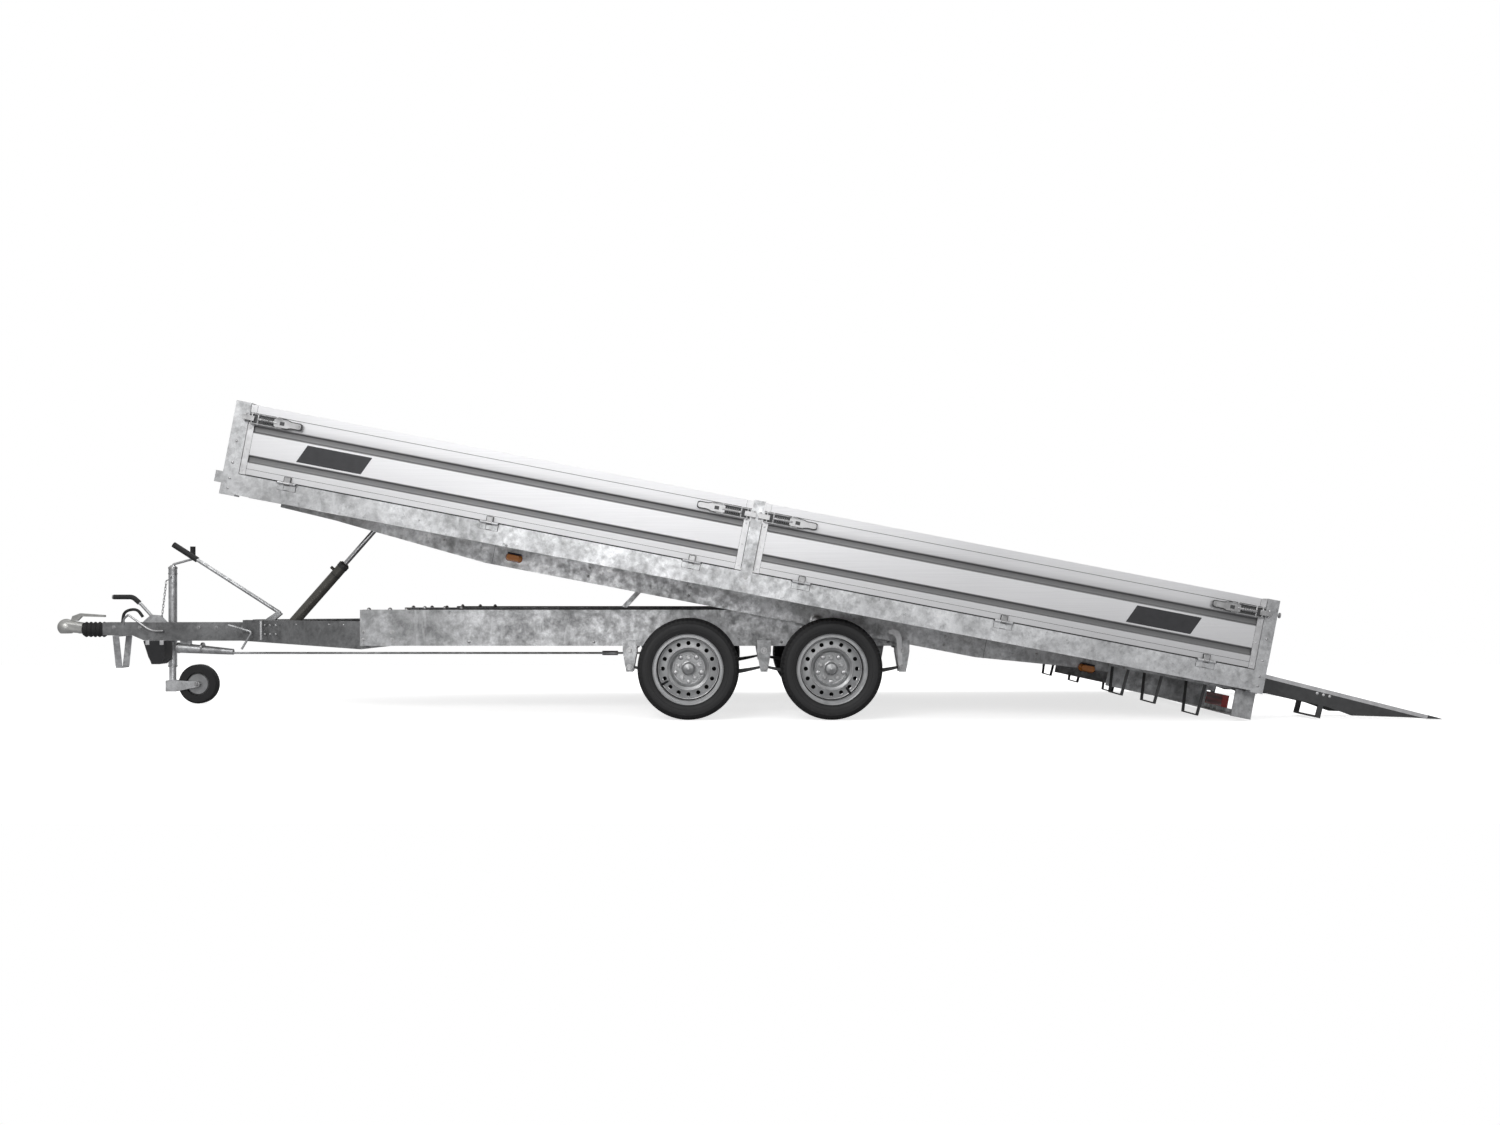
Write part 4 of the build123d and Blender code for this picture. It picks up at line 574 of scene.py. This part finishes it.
hinge_places = []
for board_name, (start_u, end_u) in BOARDS.items():
    for side_name, side in SIDES.items():
        body = f"side_board_{board_name}_{side_name}"
        seam_and_shade_lines = Sketch(BED)
        caps = Sketch(BED)
        bright = Sketch(BED)
        dark = Sketch(BED)
        label = Sketch(BED)
        face = across_pair(side, BOARD_FACE_Y - 0.001, BOARD_FACE_Y + 0.0005)
        for n, tall in BOARD_SEAMS:
            seam_and_shade_lines.box((start_u + CAP_WIDTH, end_u - CAP_WIDTH), face, (n - tall / 2, n + tall / 2))
        # Painted shadow: thin dark lines along the inner edges of the end caps
        for edge in (start_u + 0.0305, end_u - 0.0315):
            seam_and_shade_lines.box((edge, edge + 0.001), face, (BOARD_LOW + 0.004, BOARD_HIGH - 0.002))
        cap_face = across_pair(side, BOARD_FACE_Y, BOARD_FACE_Y + CAP_THICK)
        for edge in (start_u, end_u - CAP_WIDTH):
            caps.box((edge, edge + CAP_WIDTH), cap_face, (BOARD_LOW, BOARD_HIGH))
            for n in CAP_RIVETS:
                rivet = (edge + CAP_WIDTH / 2, side * (BOARD_FACE_Y + CAP_THICK), n)
                caps.dome(rivet, (0, side, 0), 0.0045, 0.0025)
        plate_face = across_pair(side, BOARD_FACE_Y, BOARD_FACE_Y + 0.001)
        label.plate(plate_outline(PLATE_U[board_name]), plate_face)
        post_front, post_rear = start_u - POST_GAP, end_u + POST_GAP
        latch(bright, dark, post_front, 1, side)
        latch(bright, dark, post_rear, -1, side)
        middle = (post_front + post_rear) / 2
        for u in (post_front + HINGE_INSET, middle, post_rear - HINGE_INSET):
            hinge_leaf(bright, dark, u, side)
            hinge_places.append((u, side))
        tag = f"{board_name}_{side_name}"
        seam_and_shade_lines.piece(f"board_seams_and_shadow_lines_{tag}", "black_plastic", "black_plastic", body)
        caps.piece(f"board_end_caps_{tag}", "plate", "aluminium", body)
        label.piece(f"blank_plate_{tag}", "label", "black_plastic", body)
        # Dark latch and hinge parts, with the latches' painted shadow lines
        dark.piece(f"dark_latch_and_hinge_parts_{tag}", "black_steel", "black_steel", body)
        fittings = (f"board_fittings_{tag}",)
        bright.piece(f"latches_{tag}", "bright", "galvanised", body, 0.0012, fittings)


# Wheels: road tyres with tread, wheel bolts and valves

TYRE_R = 0.262
WHEEL_Z = 0.262
WHEEL_Y = 0.8825
WHEEL_X = {"front": -0.090496, "rear": 0.646504}
DISC_Y = WHEEL_Y - 0.014
WHEEL_BOLTS = 5
BOLT_CIRCLE = 0.056
BOLT_CONE = ((0, 0.0135), (0.004, 0.0120))
BOLT_HEAD = ((0, 0.0098), (0.012, 0.0098), (0.0145, 0.0080))
BOSS_CIRCLE = 0.070
HUB_RING = ((0.0, 0.0375), (0.008, 0.0375), (0.010, 0.0345))
VALVE_TURN = {"front": math.radians(211), "rear": math.radians(-52)}
VALVE_FOOT = 0.160
VALVE_TIP = 0.128
VALVE_OUT = 0.022
# Place across the tyre from its middle, radius
TYRE_SIDE = (
    (0.0755, 0.1690),
    (0.0795, 0.1770),
    (0.0900, 0.1850),
    (0.0915, 0.1885),
    (0.0905, 0.1900),
    (0.0950, 0.1990),
    (0.0965, 0.2060),
    (0.0955, 0.2075),
    (0.0972, 0.2160),
    (0.0974, 0.2250),
    (0.0960, 0.2330),
    (0.0968, 0.2345),
    (0.0955, 0.2365),
    (0.0935, 0.2380),
    (0.0900, 0.2450),
    (0.0845, 0.2520),
    (0.0760, 0.2560),
    (0.0640, 0.2590),
)
TREAD_GROOVES = (-0.045, -0.015, 0.015, 0.045)
GROOVE_HALF = 0.0042
GROOVE_DEEP = 0.007
CROWN_DROP = 0.4
LUGS = 64
# Cross cuts: on the shoulder past a place across, and on a band of the side wall
SHOULDER_Y = 0.052
SHOULDER_R = 0.2515
SHOULDER_CUT = 0.005
WALL_BAND = (0.2385, 0.246)
WALL_CUT = 0.001
# Radius, place from the wheel's middle plane, thickness
# A black ring behind the vent holes, painted shadow seen through them
VENT_SHADOW_RING = (0.132, -0.048, 0.0150)
RIM_RINGS = ((0.1100, 0.0250, 0.0032), (0.1560, 0.0180, 0.0030), (0.0780, -0.0150, 0.0028))
RING_STEPS = 48


def on_wheel(wheel_x, radius, turn, y):
    """A point of a circle round a wheel's middle."""
    return (wheel_x + radius * math.cos(turn), y, WHEEL_Z + radius * math.sin(turn))


def wheel_ring(sketch, wheel_x, side, radius, offset, thick):
    """A thin closed ring on a wheel."""
    turns = [2 * math.pi * step / RING_STEPS for step in range(RING_STEPS)]
    circle = [on_wheel(wheel_x, radius, turn, side * (WHEEL_Y + offset)) for turn in turns]
    sketch.tube(circle, thick, 10, closed=True)


def tyre_piece(axle_name, side_name):
    """Tyre with four grooves round it and cross cuts on its shoulders."""
    side = SIDES[side_name]
    profile = list(TYRE_SIDE)
    for groove in sorted(TREAD_GROOVES, reverse=True):
        crown = TYRE_R - CROWN_DROP * groove * groove
        profile.append((groove + GROOVE_HALF + 0.001, crown))
        profile.append((groove + GROOVE_HALF, crown - GROOVE_DEEP))
        profile.append((groove - GROOVE_HALF, crown - GROOVE_DEEP))
        profile.append((groove - GROOVE_HALF - 0.001, crown))
    profile += [(-y, r) for y, r in reversed(TYRE_SIDE)]
    columns = LUGS * 4
    centre = Vector((WHEEL_X[axle_name], side * WHEEL_Y, WHEEL_Z))
    points = []
    for column in range(columns):
        turn = 2 * math.pi * column / columns
        cut = column % 4 == 0
        for y, r in profile:
            radius = r
            if cut and r > SHOULDER_R and abs(y) > SHOULDER_Y:
                radius = r - SHOULDER_CUT
            elif cut and WALL_BAND[0] < r < WALL_BAND[1]:
                radius = r - WALL_CUT
            point = (radius * math.cos(turn), side * y, radius * math.sin(turn))
            points.append(centre + Vector(point))
    rows = len(profile)
    faces = []
    for column in range(columns):
        a, b = column * rows, (column + 1) % columns * rows
        for row in range(rows - 1):
            faces.append((a + row, a + row + 1, b + row + 1, b + row))
    sketch = Sketch()
    sketch.add(points, faces)
    name = f"{axle_name}_{side_name}"
    sketch.piece(f"road_tyre_{name}", "tyre", "tyre", f"wheel_{name}", 0.0, (f"tyre_{name}",))


for axle_name, wheel_x in WHEEL_X.items():
    for side_name, side in SIDES.items():
        body = f"wheel_{axle_name}_{side_name}"
        tyre_piece(axle_name, side_name)
        bolts = Sketch()
        valve = Sketch()
        shade = Sketch()
        out = (0, side, 0)
        for index in range(WHEEL_BOLTS):
            turn = 2 * math.pi * index / WHEEL_BOLTS + math.pi / 2
            bolts.lathe(on_wheel(wheel_x, BOLT_CIRCLE, turn, side * DISC_Y), out, BOLT_CONE, 20)
            bolts.lathe(on_wheel(wheel_x, BOLT_CIRCLE, turn, side * (DISC_Y + 0.003)), out, BOLT_HEAD, 6)
            turn += math.pi / WHEEL_BOLTS
            bolts.dome(on_wheel(wheel_x, BOSS_CIRCLE, turn, side * DISC_Y), out, 0.013, 0.004)
        bolts.lathe((wheel_x, side * (DISC_Y + 0.001), WHEEL_Z), out, HUB_RING, 40)
        # Painted shadow: the black ring darkens the vent holes
        wheel_ring(shade, wheel_x, side, *VENT_SHADOW_RING)
        for rim_ring in RIM_RINGS:
            wheel_ring(bolts, wheel_x, side, *rim_ring)
        turn = VALVE_TURN[axle_name]
        ray = Vector((math.cos(turn), 0, math.sin(turn)))
        centre = Vector((wheel_x, side * (WHEEL_Y + VALVE_OUT), WHEEL_Z))
        foot = centre + ray * VALVE_FOOT
        tip = centre + ray * VALVE_TIP + Vector((0, side * VALVE_OUT, 0))
        valve.rod(foot, tip, 0.0058, 12)
        valve.rod(tip, tip + (tip - foot) * 0.2, 0.0044, 12)
        tag = f"{axle_name}_{side_name}"
        bolts.piece(f"wheel_bolts_{tag}", "bright", "galvanised", body)
        valve.piece(f"valve_{tag}", "black_plastic", "black_plastic", body)
        shade.piece(f"vent_shadow_ring_{tag}", "rubber", "rubber", body)


# Chassis and drawbar fittings

RAIL_Y = 0.520
RAIL_MIDDLE_Y = 0.500
# Row along a rail's top: places, height, radius
RAIL_TOP_BOLTS = (((-1.849, -1.734, -1.642), 0.560, 0.012), ((-1.544, -1.435, -1.343), 0.568, 0.011))
RAIL_FRONT_BOLTS = [(x, z) for x in (-1.876, -1.718) for z in (0.396, 0.4395)]
RAIL_RIVETS_X = (-1.30, -0.62, 0.10, 0.40, 0.86, 0.98)
RAIL_RIVETS_Z = 0.385
ARM_FRONT = Vector((-2.682, 0.1103))
ARM_REAR = Vector((-1.903, 0.520))
ARM_DIRECTION = (ARM_REAR - ARM_FRONT).normalized()
ARM_BOLTS = [(-2.310, 0.474), (-2.092, 0.477), (-1.996, 0.477)]
ARM_BOLTS += [(x, z) for x in (-2.525, -2.490, -2.450) for z in (0.417, 0.468)]
HANGERS = (-0.411996, 0.303004, 1.040004)
# Place across, height, radius, head
HANGER_BOLTS = ((0.680, 0.345, 0.012, 0.009), (0.686, 0.2575, 0.011, 0.008))
PIVOT_NUT_Y = 0.596
PIVOT_NUT = ((0, 0.034), (0.004, 0.034), (0.005, 0.026), (0.016, 0.026), (0.020, 0.020))
OVERRUN_BOLTS_X = (-3.45, -3.30, -2.96, -2.858, -2.70)
OVERRUN_BOLTS_Y = 0.050
OVERRUN_BOLTS_Z = 0.452

bolts = Sketch()
for side in SIDES.values():
    for row, z, radius in RAIL_TOP_BOLTS:
        for x in row:
            bolts.dome((x, side * RAIL_MIDDLE_Y, z), (0, 0, 1), radius, 0.012)
    for x, z in RAIL_FRONT_BOLTS:
        bolts.bolt((x, side * RAIL_Y, z), (0, side, 0), 0.0085, 0.007)
    for x in RAIL_RIVETS_X:
        bolts.dome((x, side * RAIL_Y, RAIL_RIVETS_Z), (0, side, 0), 0.008, 0.005)
    across_arm = Vector((-ARM_DIRECTION.y, side * ARM_DIRECTION.x, 0))
    for x, z in ARM_BOLTS:
        y = ARM_FRONT.y + (x - ARM_FRONT.x) * ARM_DIRECTION.y / ARM_DIRECTION.x
        bolts.dome((x, side * y, z), across_arm, 0.007, 0.005)
    for x in HANGERS:
        for y, z, radius, height in HANGER_BOLTS:
            bolts.bolt((x, side * y, z), (0, side, 0), radius, height)
    bolts.lathe((PIVOT_X, side * PIVOT_NUT_Y, PIVOT_Z), (0, side, 0), PIVOT_NUT, 24)
for x in OVERRUN_BOLTS_X:
    for side in SIDES.values():
        bolts.bolt((x, side * OVERRUN_BOLTS_Y, OVERRUN_BOLTS_Z), (0, side, 0), 0.0075, 0.006)
bolts.piece("chassis_bolts", "bright", "galvanised", "chassis")

JOCKEY_X = -3.168
JOCKEY_Y = 0.092
JOCKEY_CAP_Z = 0.792
JOCKEY_CAP = ((0, 0.026), (0.010, 0.026), (0.016, 0.018), (0.022, 0.012))
JOCKEY_BANDS_Z = (0.760, 0.470, 0.388, 0.216)
JOCKEY_BAND = ((0, 0.0262), (0.008, 0.0262))
# Bent rods beside the overrun box: corners, rounding
ROD_BENDS = (
    ([(-3.360, -0.062, 0.524), (-3.233, -0.062, 0.431), (-3.158, -0.062, 0.431)], 0.04),
    ([(-3.360, -0.062, 0.524), (-3.392, -0.056, 0.500), (-3.392, -0.050, 0.470)], 0.02),
)
ROD_R = 0.006
# Crank pin, clamp screw and its cross bar: start, end, radius
JOCKEY_RODS = (
    ((JOCKEY_X, 0.050, 0.744), (JOCKEY_X, 0.134, 0.744), 0.0055),
    ((JOCKEY_X, 0.124, 0.430), (JOCKEY_X, 0.165, 0.430), 0.007),
    ((-3.205, 0.165, 0.430), (-3.131, 0.165, 0.430), 0.006),
)
BRAKE_SPRING_X = (-3.10, -2.96)
BRAKE_SPRING_Z = 0.610 - 0.279
BRAKE_SPRING_BAND = ((0, 0.0315), (0.010, 0.0315))

rods = Sketch()
for corners, rounding in ROD_BENDS:
    rods.tube(rounded(corners, rounding), ROD_R)
rods.lathe((JOCKEY_X, JOCKEY_Y, JOCKEY_CAP_Z), (0, 0, 1), JOCKEY_CAP, 28)
for z in JOCKEY_BANDS_Z:
    rods.lathe((JOCKEY_X, JOCKEY_Y, z), (0, 0, 1), JOCKEY_BAND, 28)
for start, end, radius in JOCKEY_RODS:
    rods.rod(start, end, radius, 12)
for x in BRAKE_SPRING_X:
    rods.lathe((x, 0, BRAKE_SPRING_Z), (1, 0, 0), BRAKE_SPRING_BAND, 28)
chain_pin_foot = (-3.180, 0.081, 0.732)
chain_pin_tip = (-3.1975, 0.0645, 0.722)
rods.rod(chain_pin_foot, chain_pin_tip, 0.0032, 10)
rods.piece("drawbar_rods", "bright", "galvanised", "chassis")

LINKS = 13
LINK_HALF = 0.0125
LINK_WIDTH = 0.0052
LINK_STEPS = 12
CHAIN_TOP = Vector((-3.196, 0.066, 0.716))
CHAIN_LOW = Vector((-3.216, 0.052, 0.500))

chain = Sketch()
for index in range(LINKS):
    centre = CHAIN_TOP.lerp(CHAIN_LOW, (index + 0.5) / LINKS)
    flat = index % 2
    path = []
    for step in range(LINK_STEPS):
        turn = 2 * math.pi * step / LINK_STEPS
        swing = LINK_WIDTH * math.sin(turn)
        offset = Vector((0 if flat else swing, swing if flat else 0, LINK_HALF * math.cos(turn)))
        path.append(centre + offset)
    chain.tube(path, 0.0017, 6, closed=True)
chain.piece("jockey_chain", "bright", "galvanised", "chassis")

# Grips on the coupling's handle, the handbrake lever and the jockey crank, and the bent bar
# beside the overrun box
COUPLING_GRIP = [(-3.472, 0, 0.627), (-3.361, 0, 0.627), (-3.324, 0, 0.593)]
LEVER_END = Vector((-3.119996, 0, 0.929))
LEVER_FOOT = Vector((-2.821996, 0, 0.738))
CRANK_X = -3.050
CRANK_GRIP_Z = (0.852, 0.924)
ARCH = [(-3.404, -0.040, 0.478), (-3.396, -0.040, 0.545), (-3.320, -0.040, 0.560), (-3.286, -0.040, 0.512)]

grips = Sketch()
grips.tube(rounded(COUPLING_GRIP, 0.02), 0.0142, 18)
lever_way = (LEVER_FOOT - LEVER_END).normalized()
grips.rod(LEVER_END - lever_way * 0.006, LEVER_END + lever_way * 0.158, 0.0168, 20)
grips.rod((CRANK_X, JOCKEY_Y, CRANK_GRIP_Z[0]), (CRANK_X, JOCKEY_Y, CRANK_GRIP_Z[1]), 0.0150, 20)
grips.tube(rounded(ARCH, 0.035), 0.0085, 14)
grips.piece("black_grips", "rubber", "rubber", "chassis")

BOX_STRAPS_X = (-3.250, -3.168)
ARM_STRAP_X = (-2.556, -2.546)

straps = Sketch()
for x in BOX_STRAPS_X:
    straps.box((x, x + 0.022), (-0.088, 0.028), (0.352, 0.378))
for side in SIDES.values():
    straps.box(ARM_STRAP_X, across_pair(side, 0.170, 0.186), (0.385, 0.492))
straps.piece("drawbar_straps", "plate", "galvanised", "chassis")


# Bed fittings

BEAM_Y = 0.590
# Dark joint across the beam: place along the bed, lower end
BEAM_JOINTS = {-1.775: -0.033, 0.920: -0.031}
BEAM_JOINT_TOP = 0.070
BEAM_RIVETS_U = (-2.60, -2.05, -1.25, -0.70, 0.20, 0.70, 1.20)
BEAM_RIVETS_N = 0.045
# Between these places the beam is deep enough for a second row
BEAM_DEEP = (-1.8, 0.9)
MIDDLE_POST_U = -0.419
MIDDLE_POST_Y = 1.098
MIDDLE_POST_BOLTS_N = (0.100, 0.150)
CORNER_POSTS_U = (-3.055, 2.209)
CORNER_RIVETS_N = (0.100, 0.150, 0.230, 0.340)
TAIL_PIN_Y = 1.060
TAIL_PIN_N = 0.470
LAMPS_U = (-1.661, 1.478)
LAMP_HALF = 0.036
MIDDLE_POST_LINES_U = (-0.4516, -0.3890)
# Outline of a hinge's strap on the side rail
STRAP_HALF = 0.047
STRAP_ROWS = (0.139, 0.166)
STRAP_EDGES = (-STRAP_HALF, -0.018, 0.016, 0.045)
STRAP_LINE = 0.003

marks = Sketch(BED)
fasteners = Sketch(BED)
for side in SIDES.values():
    for u, low in BEAM_JOINTS.items():
        marks.box((u, u + 0.0015), across_pair(side, 0.5898, 0.5906), (low, BEAM_JOINT_TOP))
    floor_line = across_pair(side, POST_Y - 0.001, POST_Y + 0.0003)
    marks.box((BOARDS["front"][0], BOARDS["rear"][1]), floor_line, (FLOOR_N - 0.003, FLOOR_N + 0.001))
    for u in BEAM_RIVETS_U:
        rows = (0.0, BEAM_RIVETS_N) if BEAM_DEEP[0] < u < BEAM_DEEP[1] else (BEAM_RIVETS_N,)
        for n in rows:
            fasteners.dome((u, side * BEAM_Y, n), (0, side, 0), 0.007, 0.004)
    for n in MIDDLE_POST_BOLTS_N:
        fasteners.bolt((MIDDLE_POST_U, side * MIDDLE_POST_Y, n), (0, side, 0), 0.008, 0.006)
    for u in CORNER_POSTS_U:
        for n in CORNER_RIVETS_N:
            fasteners.dome((u, side * POST_Y, n), (0, side, 0), 0.007, 0.004)
    pin_y = side * TAIL_PIN_Y
    fasteners.rod((2.240, pin_y, TAIL_PIN_N), (2.262, pin_y, TAIL_PIN_N), 0.006, 12)
    fasteners.lathe((2.258, pin_y, TAIL_PIN_N), (1, 0, 0), ((0, 0.014), (0.006, 0.014)), 20)
    for u in LAMPS_U:
        marks.box((u - LAMP_HALF, u + LAMP_HALF), across_pair(side, BEAM_Y, 0.616), (0.040, 0.047))
    for u in MIDDLE_POST_LINES_U:
        marks.box((u, u + 0.0026), across_pair(side, 1.085, 1.0985), (0.190, 0.430))
for u, side in hinge_places:
    strap_face = across_pair(side, POST_Y, POST_Y + 0.0008)
    for low in STRAP_ROWS:
        marks.box((u - STRAP_HALF, u + STRAP_HALF), strap_face, (low, low + STRAP_LINE))
    for edge in STRAP_EDGES:
        marks.box((u + edge, u + edge + STRAP_LINE), strap_face, (0.139, 0.169))
marks.piece("bed_dark_lines", "black_plastic", "black_plastic", "bed")
fasteners.piece("bed_bolts", "bright", "galvanised", "bed")

CYLINDER_FOOT = Vector((-2.468996, 0, 0.430))
CYLINDER_TURN = math.radians(48.6)
CYLINDER_WAY = Vector((math.cos(CYLINDER_TURN), 0, math.sin(CYLINDER_TURN)))
# Distance from the foot, turned profile
GLAND_PARTS = (
    (0.488, ((0, 0.0318), (0.026, 0.0318), (0.028, 0.026), (0.033, 0.024))),
    (0.430, ((0, 0.0308), (0.006, 0.0308))),
)

gland = Sketch()
for along, profile in GLAND_PARTS:
    gland.lathe(CYLINDER_FOOT + CYLINDER_WAY * along, CYLINDER_WAY, profile, 32)
gland.piece("cylinder_gland", "black_steel", "black_steel", "cylinder_barrel")


# Ramp edges, in the ramp's own slope from its hinge

RAMP_HINGE = (2.839414, 0, 0.234001)
RAMP_SLOPE = math.radians(14.1442)
RAMP = Matrix.Translation(RAMP_HINGE) @ Matrix.Rotation(RAMP_SLOPE, 4, "Y")
# Place across of an outer plate, which way it faces
RAMP_PLATES = ((0.920, 1), (0.640, -1))
RAMP_BOLTS_R = (0.320, 0.353, 0.386)

for side_name, side in SIDES.items():
    edge = Sketch(RAMP)
    for y, out in RAMP_PLATES:
        edge.box((-0.003, 0.900), across_pair(side, y, y + out * 0.0012), (-0.0100, 0.0102))
    edge.box((0.895, 0.955), across_pair(side, 0.642, 0.918), (0.0100, 0.0110))
    for r in RAMP_BOLTS_R:
        edge.dome((r, side * RAMP_PLATES[0][0], -0.020), (0, side, 0), 0.008, 0.005)
    edge.piece(f"ramp_edges_{side_name}", "plate", "galvanised", f"ramp_{side_name}_body")


# Tongues on the rear hangers, and the jockey wheel's axle nuts on its fork

TONGUE = [(0.962, 0.452), (0.990, 0.462), (1.020, 0.450), (1.034, 0.420), (1.040, 0.270)]
TONGUE += [(1.030, 0.258), (1.018, 0.270), (1.008, 0.405), (0.992, 0.430), (0.966, 0.436)]
JOCKEY_AXLE_X = -3.011996
JOCKEY_AXLE_Z = 0.115
FORK_HALF = 0.036
NUT_WASHER = 0.003

tongues = Sketch()
for side in SIDES.values():
    tongues.plate(TONGUE, across_pair(side, 0.6795, 0.685))
tongues.piece("hanger_tongues", "plate", "galvanised", "chassis")

nuts = Sketch()
for side in (1, -1):
    y = JOCKEY_Y + side * FORK_HALF
    nuts.lathe((JOCKEY_AXLE_X, y, JOCKEY_AXLE_Z), (0, side, 0), ((0, 0.018), (NUT_WASHER, 0.018)), 28)
    nuts.bolt((JOCKEY_AXLE_X, y + side * NUT_WASHER, JOCKEY_AXLE_Z), (0, side, 0), 0.010, 0.009)
nuts.piece("jockey_axle_nuts", "bright", "galvanised", "jockey_castor")


# Camera, floor and light, as in the photograph: a level side view on a bright cut-out ground

scene = bpy.context.scene
camera_data = bpy.data.cameras.new("camera")
camera_data.sensor_width = 36.0
camera_data.lens = 32.47
camera_data.shift_x = 0.0053
camera_data.shift_y = 0.0183
camera_data.clip_end = 200.0
camera = bpy.data.objects.new("camera", camera_data)
camera.location = (0.186, -7.88, 0.668)
camera.rotation_euler = (math.radians(90), 0, 0)
scene.collection.objects.link(camera)
scene.camera = camera


def pale_floor():
    """Nearly white to the camera, mid grey to the light that it throws back."""
    made = Shader("pale_floor")
    made.surface.inputs["Base Color"].default_value = (0.90, 0.90, 0.90, 1)
    made.surface.inputs["Roughness"].default_value = 1.0
    made.surface.inputs["Specular IOR Level"].default_value = 0.0
    made.surface.inputs["Emission Color"].default_value = (1, 1, 1, 1)
    made.surface.inputs["Emission Strength"].default_value = 0.72
    seen = made.add("ShaderNodeLightPath")
    other = made.add("ShaderNodeBsdfDiffuse")
    other.inputs["Color"].default_value = (0.42, 0.42, 0.43, 1)
    mix = made.add("ShaderNodeMixShader")
    made.link(seen.outputs["Is Camera Ray"], mix.inputs["Fac"])
    made.link(other.outputs["BSDF"], mix.inputs[1])
    made.link(made.surface.outputs["BSDF"], mix.inputs[2])
    made.link(mix.outputs["Shader"], made.nodes["Material Output"].inputs["Surface"])
    return made.material


FLOOR_HALF = (7.0, 4.0)
floor_mesh = bpy.data.meshes.new("floor")
floor_corners = [(x * FLOOR_HALF[0], y * FLOOR_HALF[1], 0.0) for x, y in ((-1, -1), (1, -1), (1, 1), (-1, 1))]
floor_mesh.from_pydata(floor_corners, [], [(0, 1, 2, 3)])
floor = bpy.data.objects.new("floor", floor_mesh)
scene.collection.objects.link(floor)
floor_mesh.materials.append(pale_floor())
floor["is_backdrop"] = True


def white_world():
    """Soft grey light for the object, plain white where the camera looks past it."""
    world = bpy.data.worlds.new("studio")
    scene.world = world
    world.use_nodes = True
    nodes, links = world.node_tree.nodes, world.node_tree.links
    nodes.clear()
    seen = nodes.new("ShaderNodeLightPath")
    seen_any = nodes.new("ShaderNodeMath")
    seen_any.operation = "MAXIMUM"
    links.new(seen.outputs["Is Camera Ray"], seen_any.inputs[0])
    links.new(seen.outputs["Is Transmission Ray"], seen_any.inputs[1])
    white = nodes.new("ShaderNodeBackground")
    white.inputs["Color"].default_value = (1, 1, 1, 1)
    white.inputs["Strength"].default_value = 1.0
    place = nodes.new("ShaderNodeTexCoord")
    split = nodes.new("ShaderNodeSeparateXYZ")
    links.new(place.outputs["Generated"], split.inputs["Vector"])
    ramp = nodes.new("ShaderNodeMapRange")
    ramp.inputs["From Min"].default_value = -0.6
    ramp.inputs["From Max"].default_value = 0.9
    ramp.inputs["To Min"].default_value = 0.16
    ramp.inputs["To Max"].default_value = 0.72
    links.new(split.outputs["Z"], ramp.inputs["Value"])
    soft = nodes.new("ShaderNodeBackground")
    links.new(ramp.outputs["Result"], soft.inputs["Strength"])
    mix = nodes.new("ShaderNodeMixShader")
    links.new(seen_any.outputs[0], mix.inputs["Fac"])
    links.new(soft.outputs["Background"], mix.inputs[1])
    links.new(white.outputs["Background"], mix.inputs[2])
    output = nodes.new("ShaderNodeOutputWorld")
    links.new(mix.outputs["Shader"], output.inputs["Surface"])


def softbox(name, place, target, size, power):
    """A rectangular lamp that faces its target."""
    data =bpy.data.lights.new(name, "AREA")
    data.shape = "RECTANGLE"
    data.size, data.size_y = size
    data.energy = power
    lamp = bpy.data.objects.new(name, data)
    lamp.location = place
    direction = Vector(target) - Vector(place)
    lamp.rotation_euler = direction.to_track_quat("-Z", "Y").to_euler()
    lamp.visible_camera = False
    scene.collection.objects.link(lamp)


white_world()
softbox("softbox_front", (-2.6, -6.4, 4.2), (-0.6, 0, 0.8), (4.4, 2.4), 150)
softbox("softbox_middle", (0.2, -8.6, 2.2), (0.0, 0, 0.7), (2.6, 1.6), 36)
softbox("softbox_low", (-1.6, -6.8, 0.35), (-0.9, 0, 0.8), (2.8, 0.5), 18)
softbox("softbox_rear", (3.4, -6.2, 2.2), (2.4, 0, 0.5), (2.0, 1.2), 24)
softbox("softbox_top", (0.4, 1.4, 5.4), (0.2, 0, 0.4), (7.0, 2.4), 130)

scene.render.engine = "CYCLES"
scene.cycles.samples = 96
scene.cycles.use_denoising = True
scene.view_settings.view_transform = "Standard"

visual_low, visual_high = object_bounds()
corners = {"cad": [list(cad_low), list(cad_high)], "visual": [list(visual_low), list(visual_high)]}
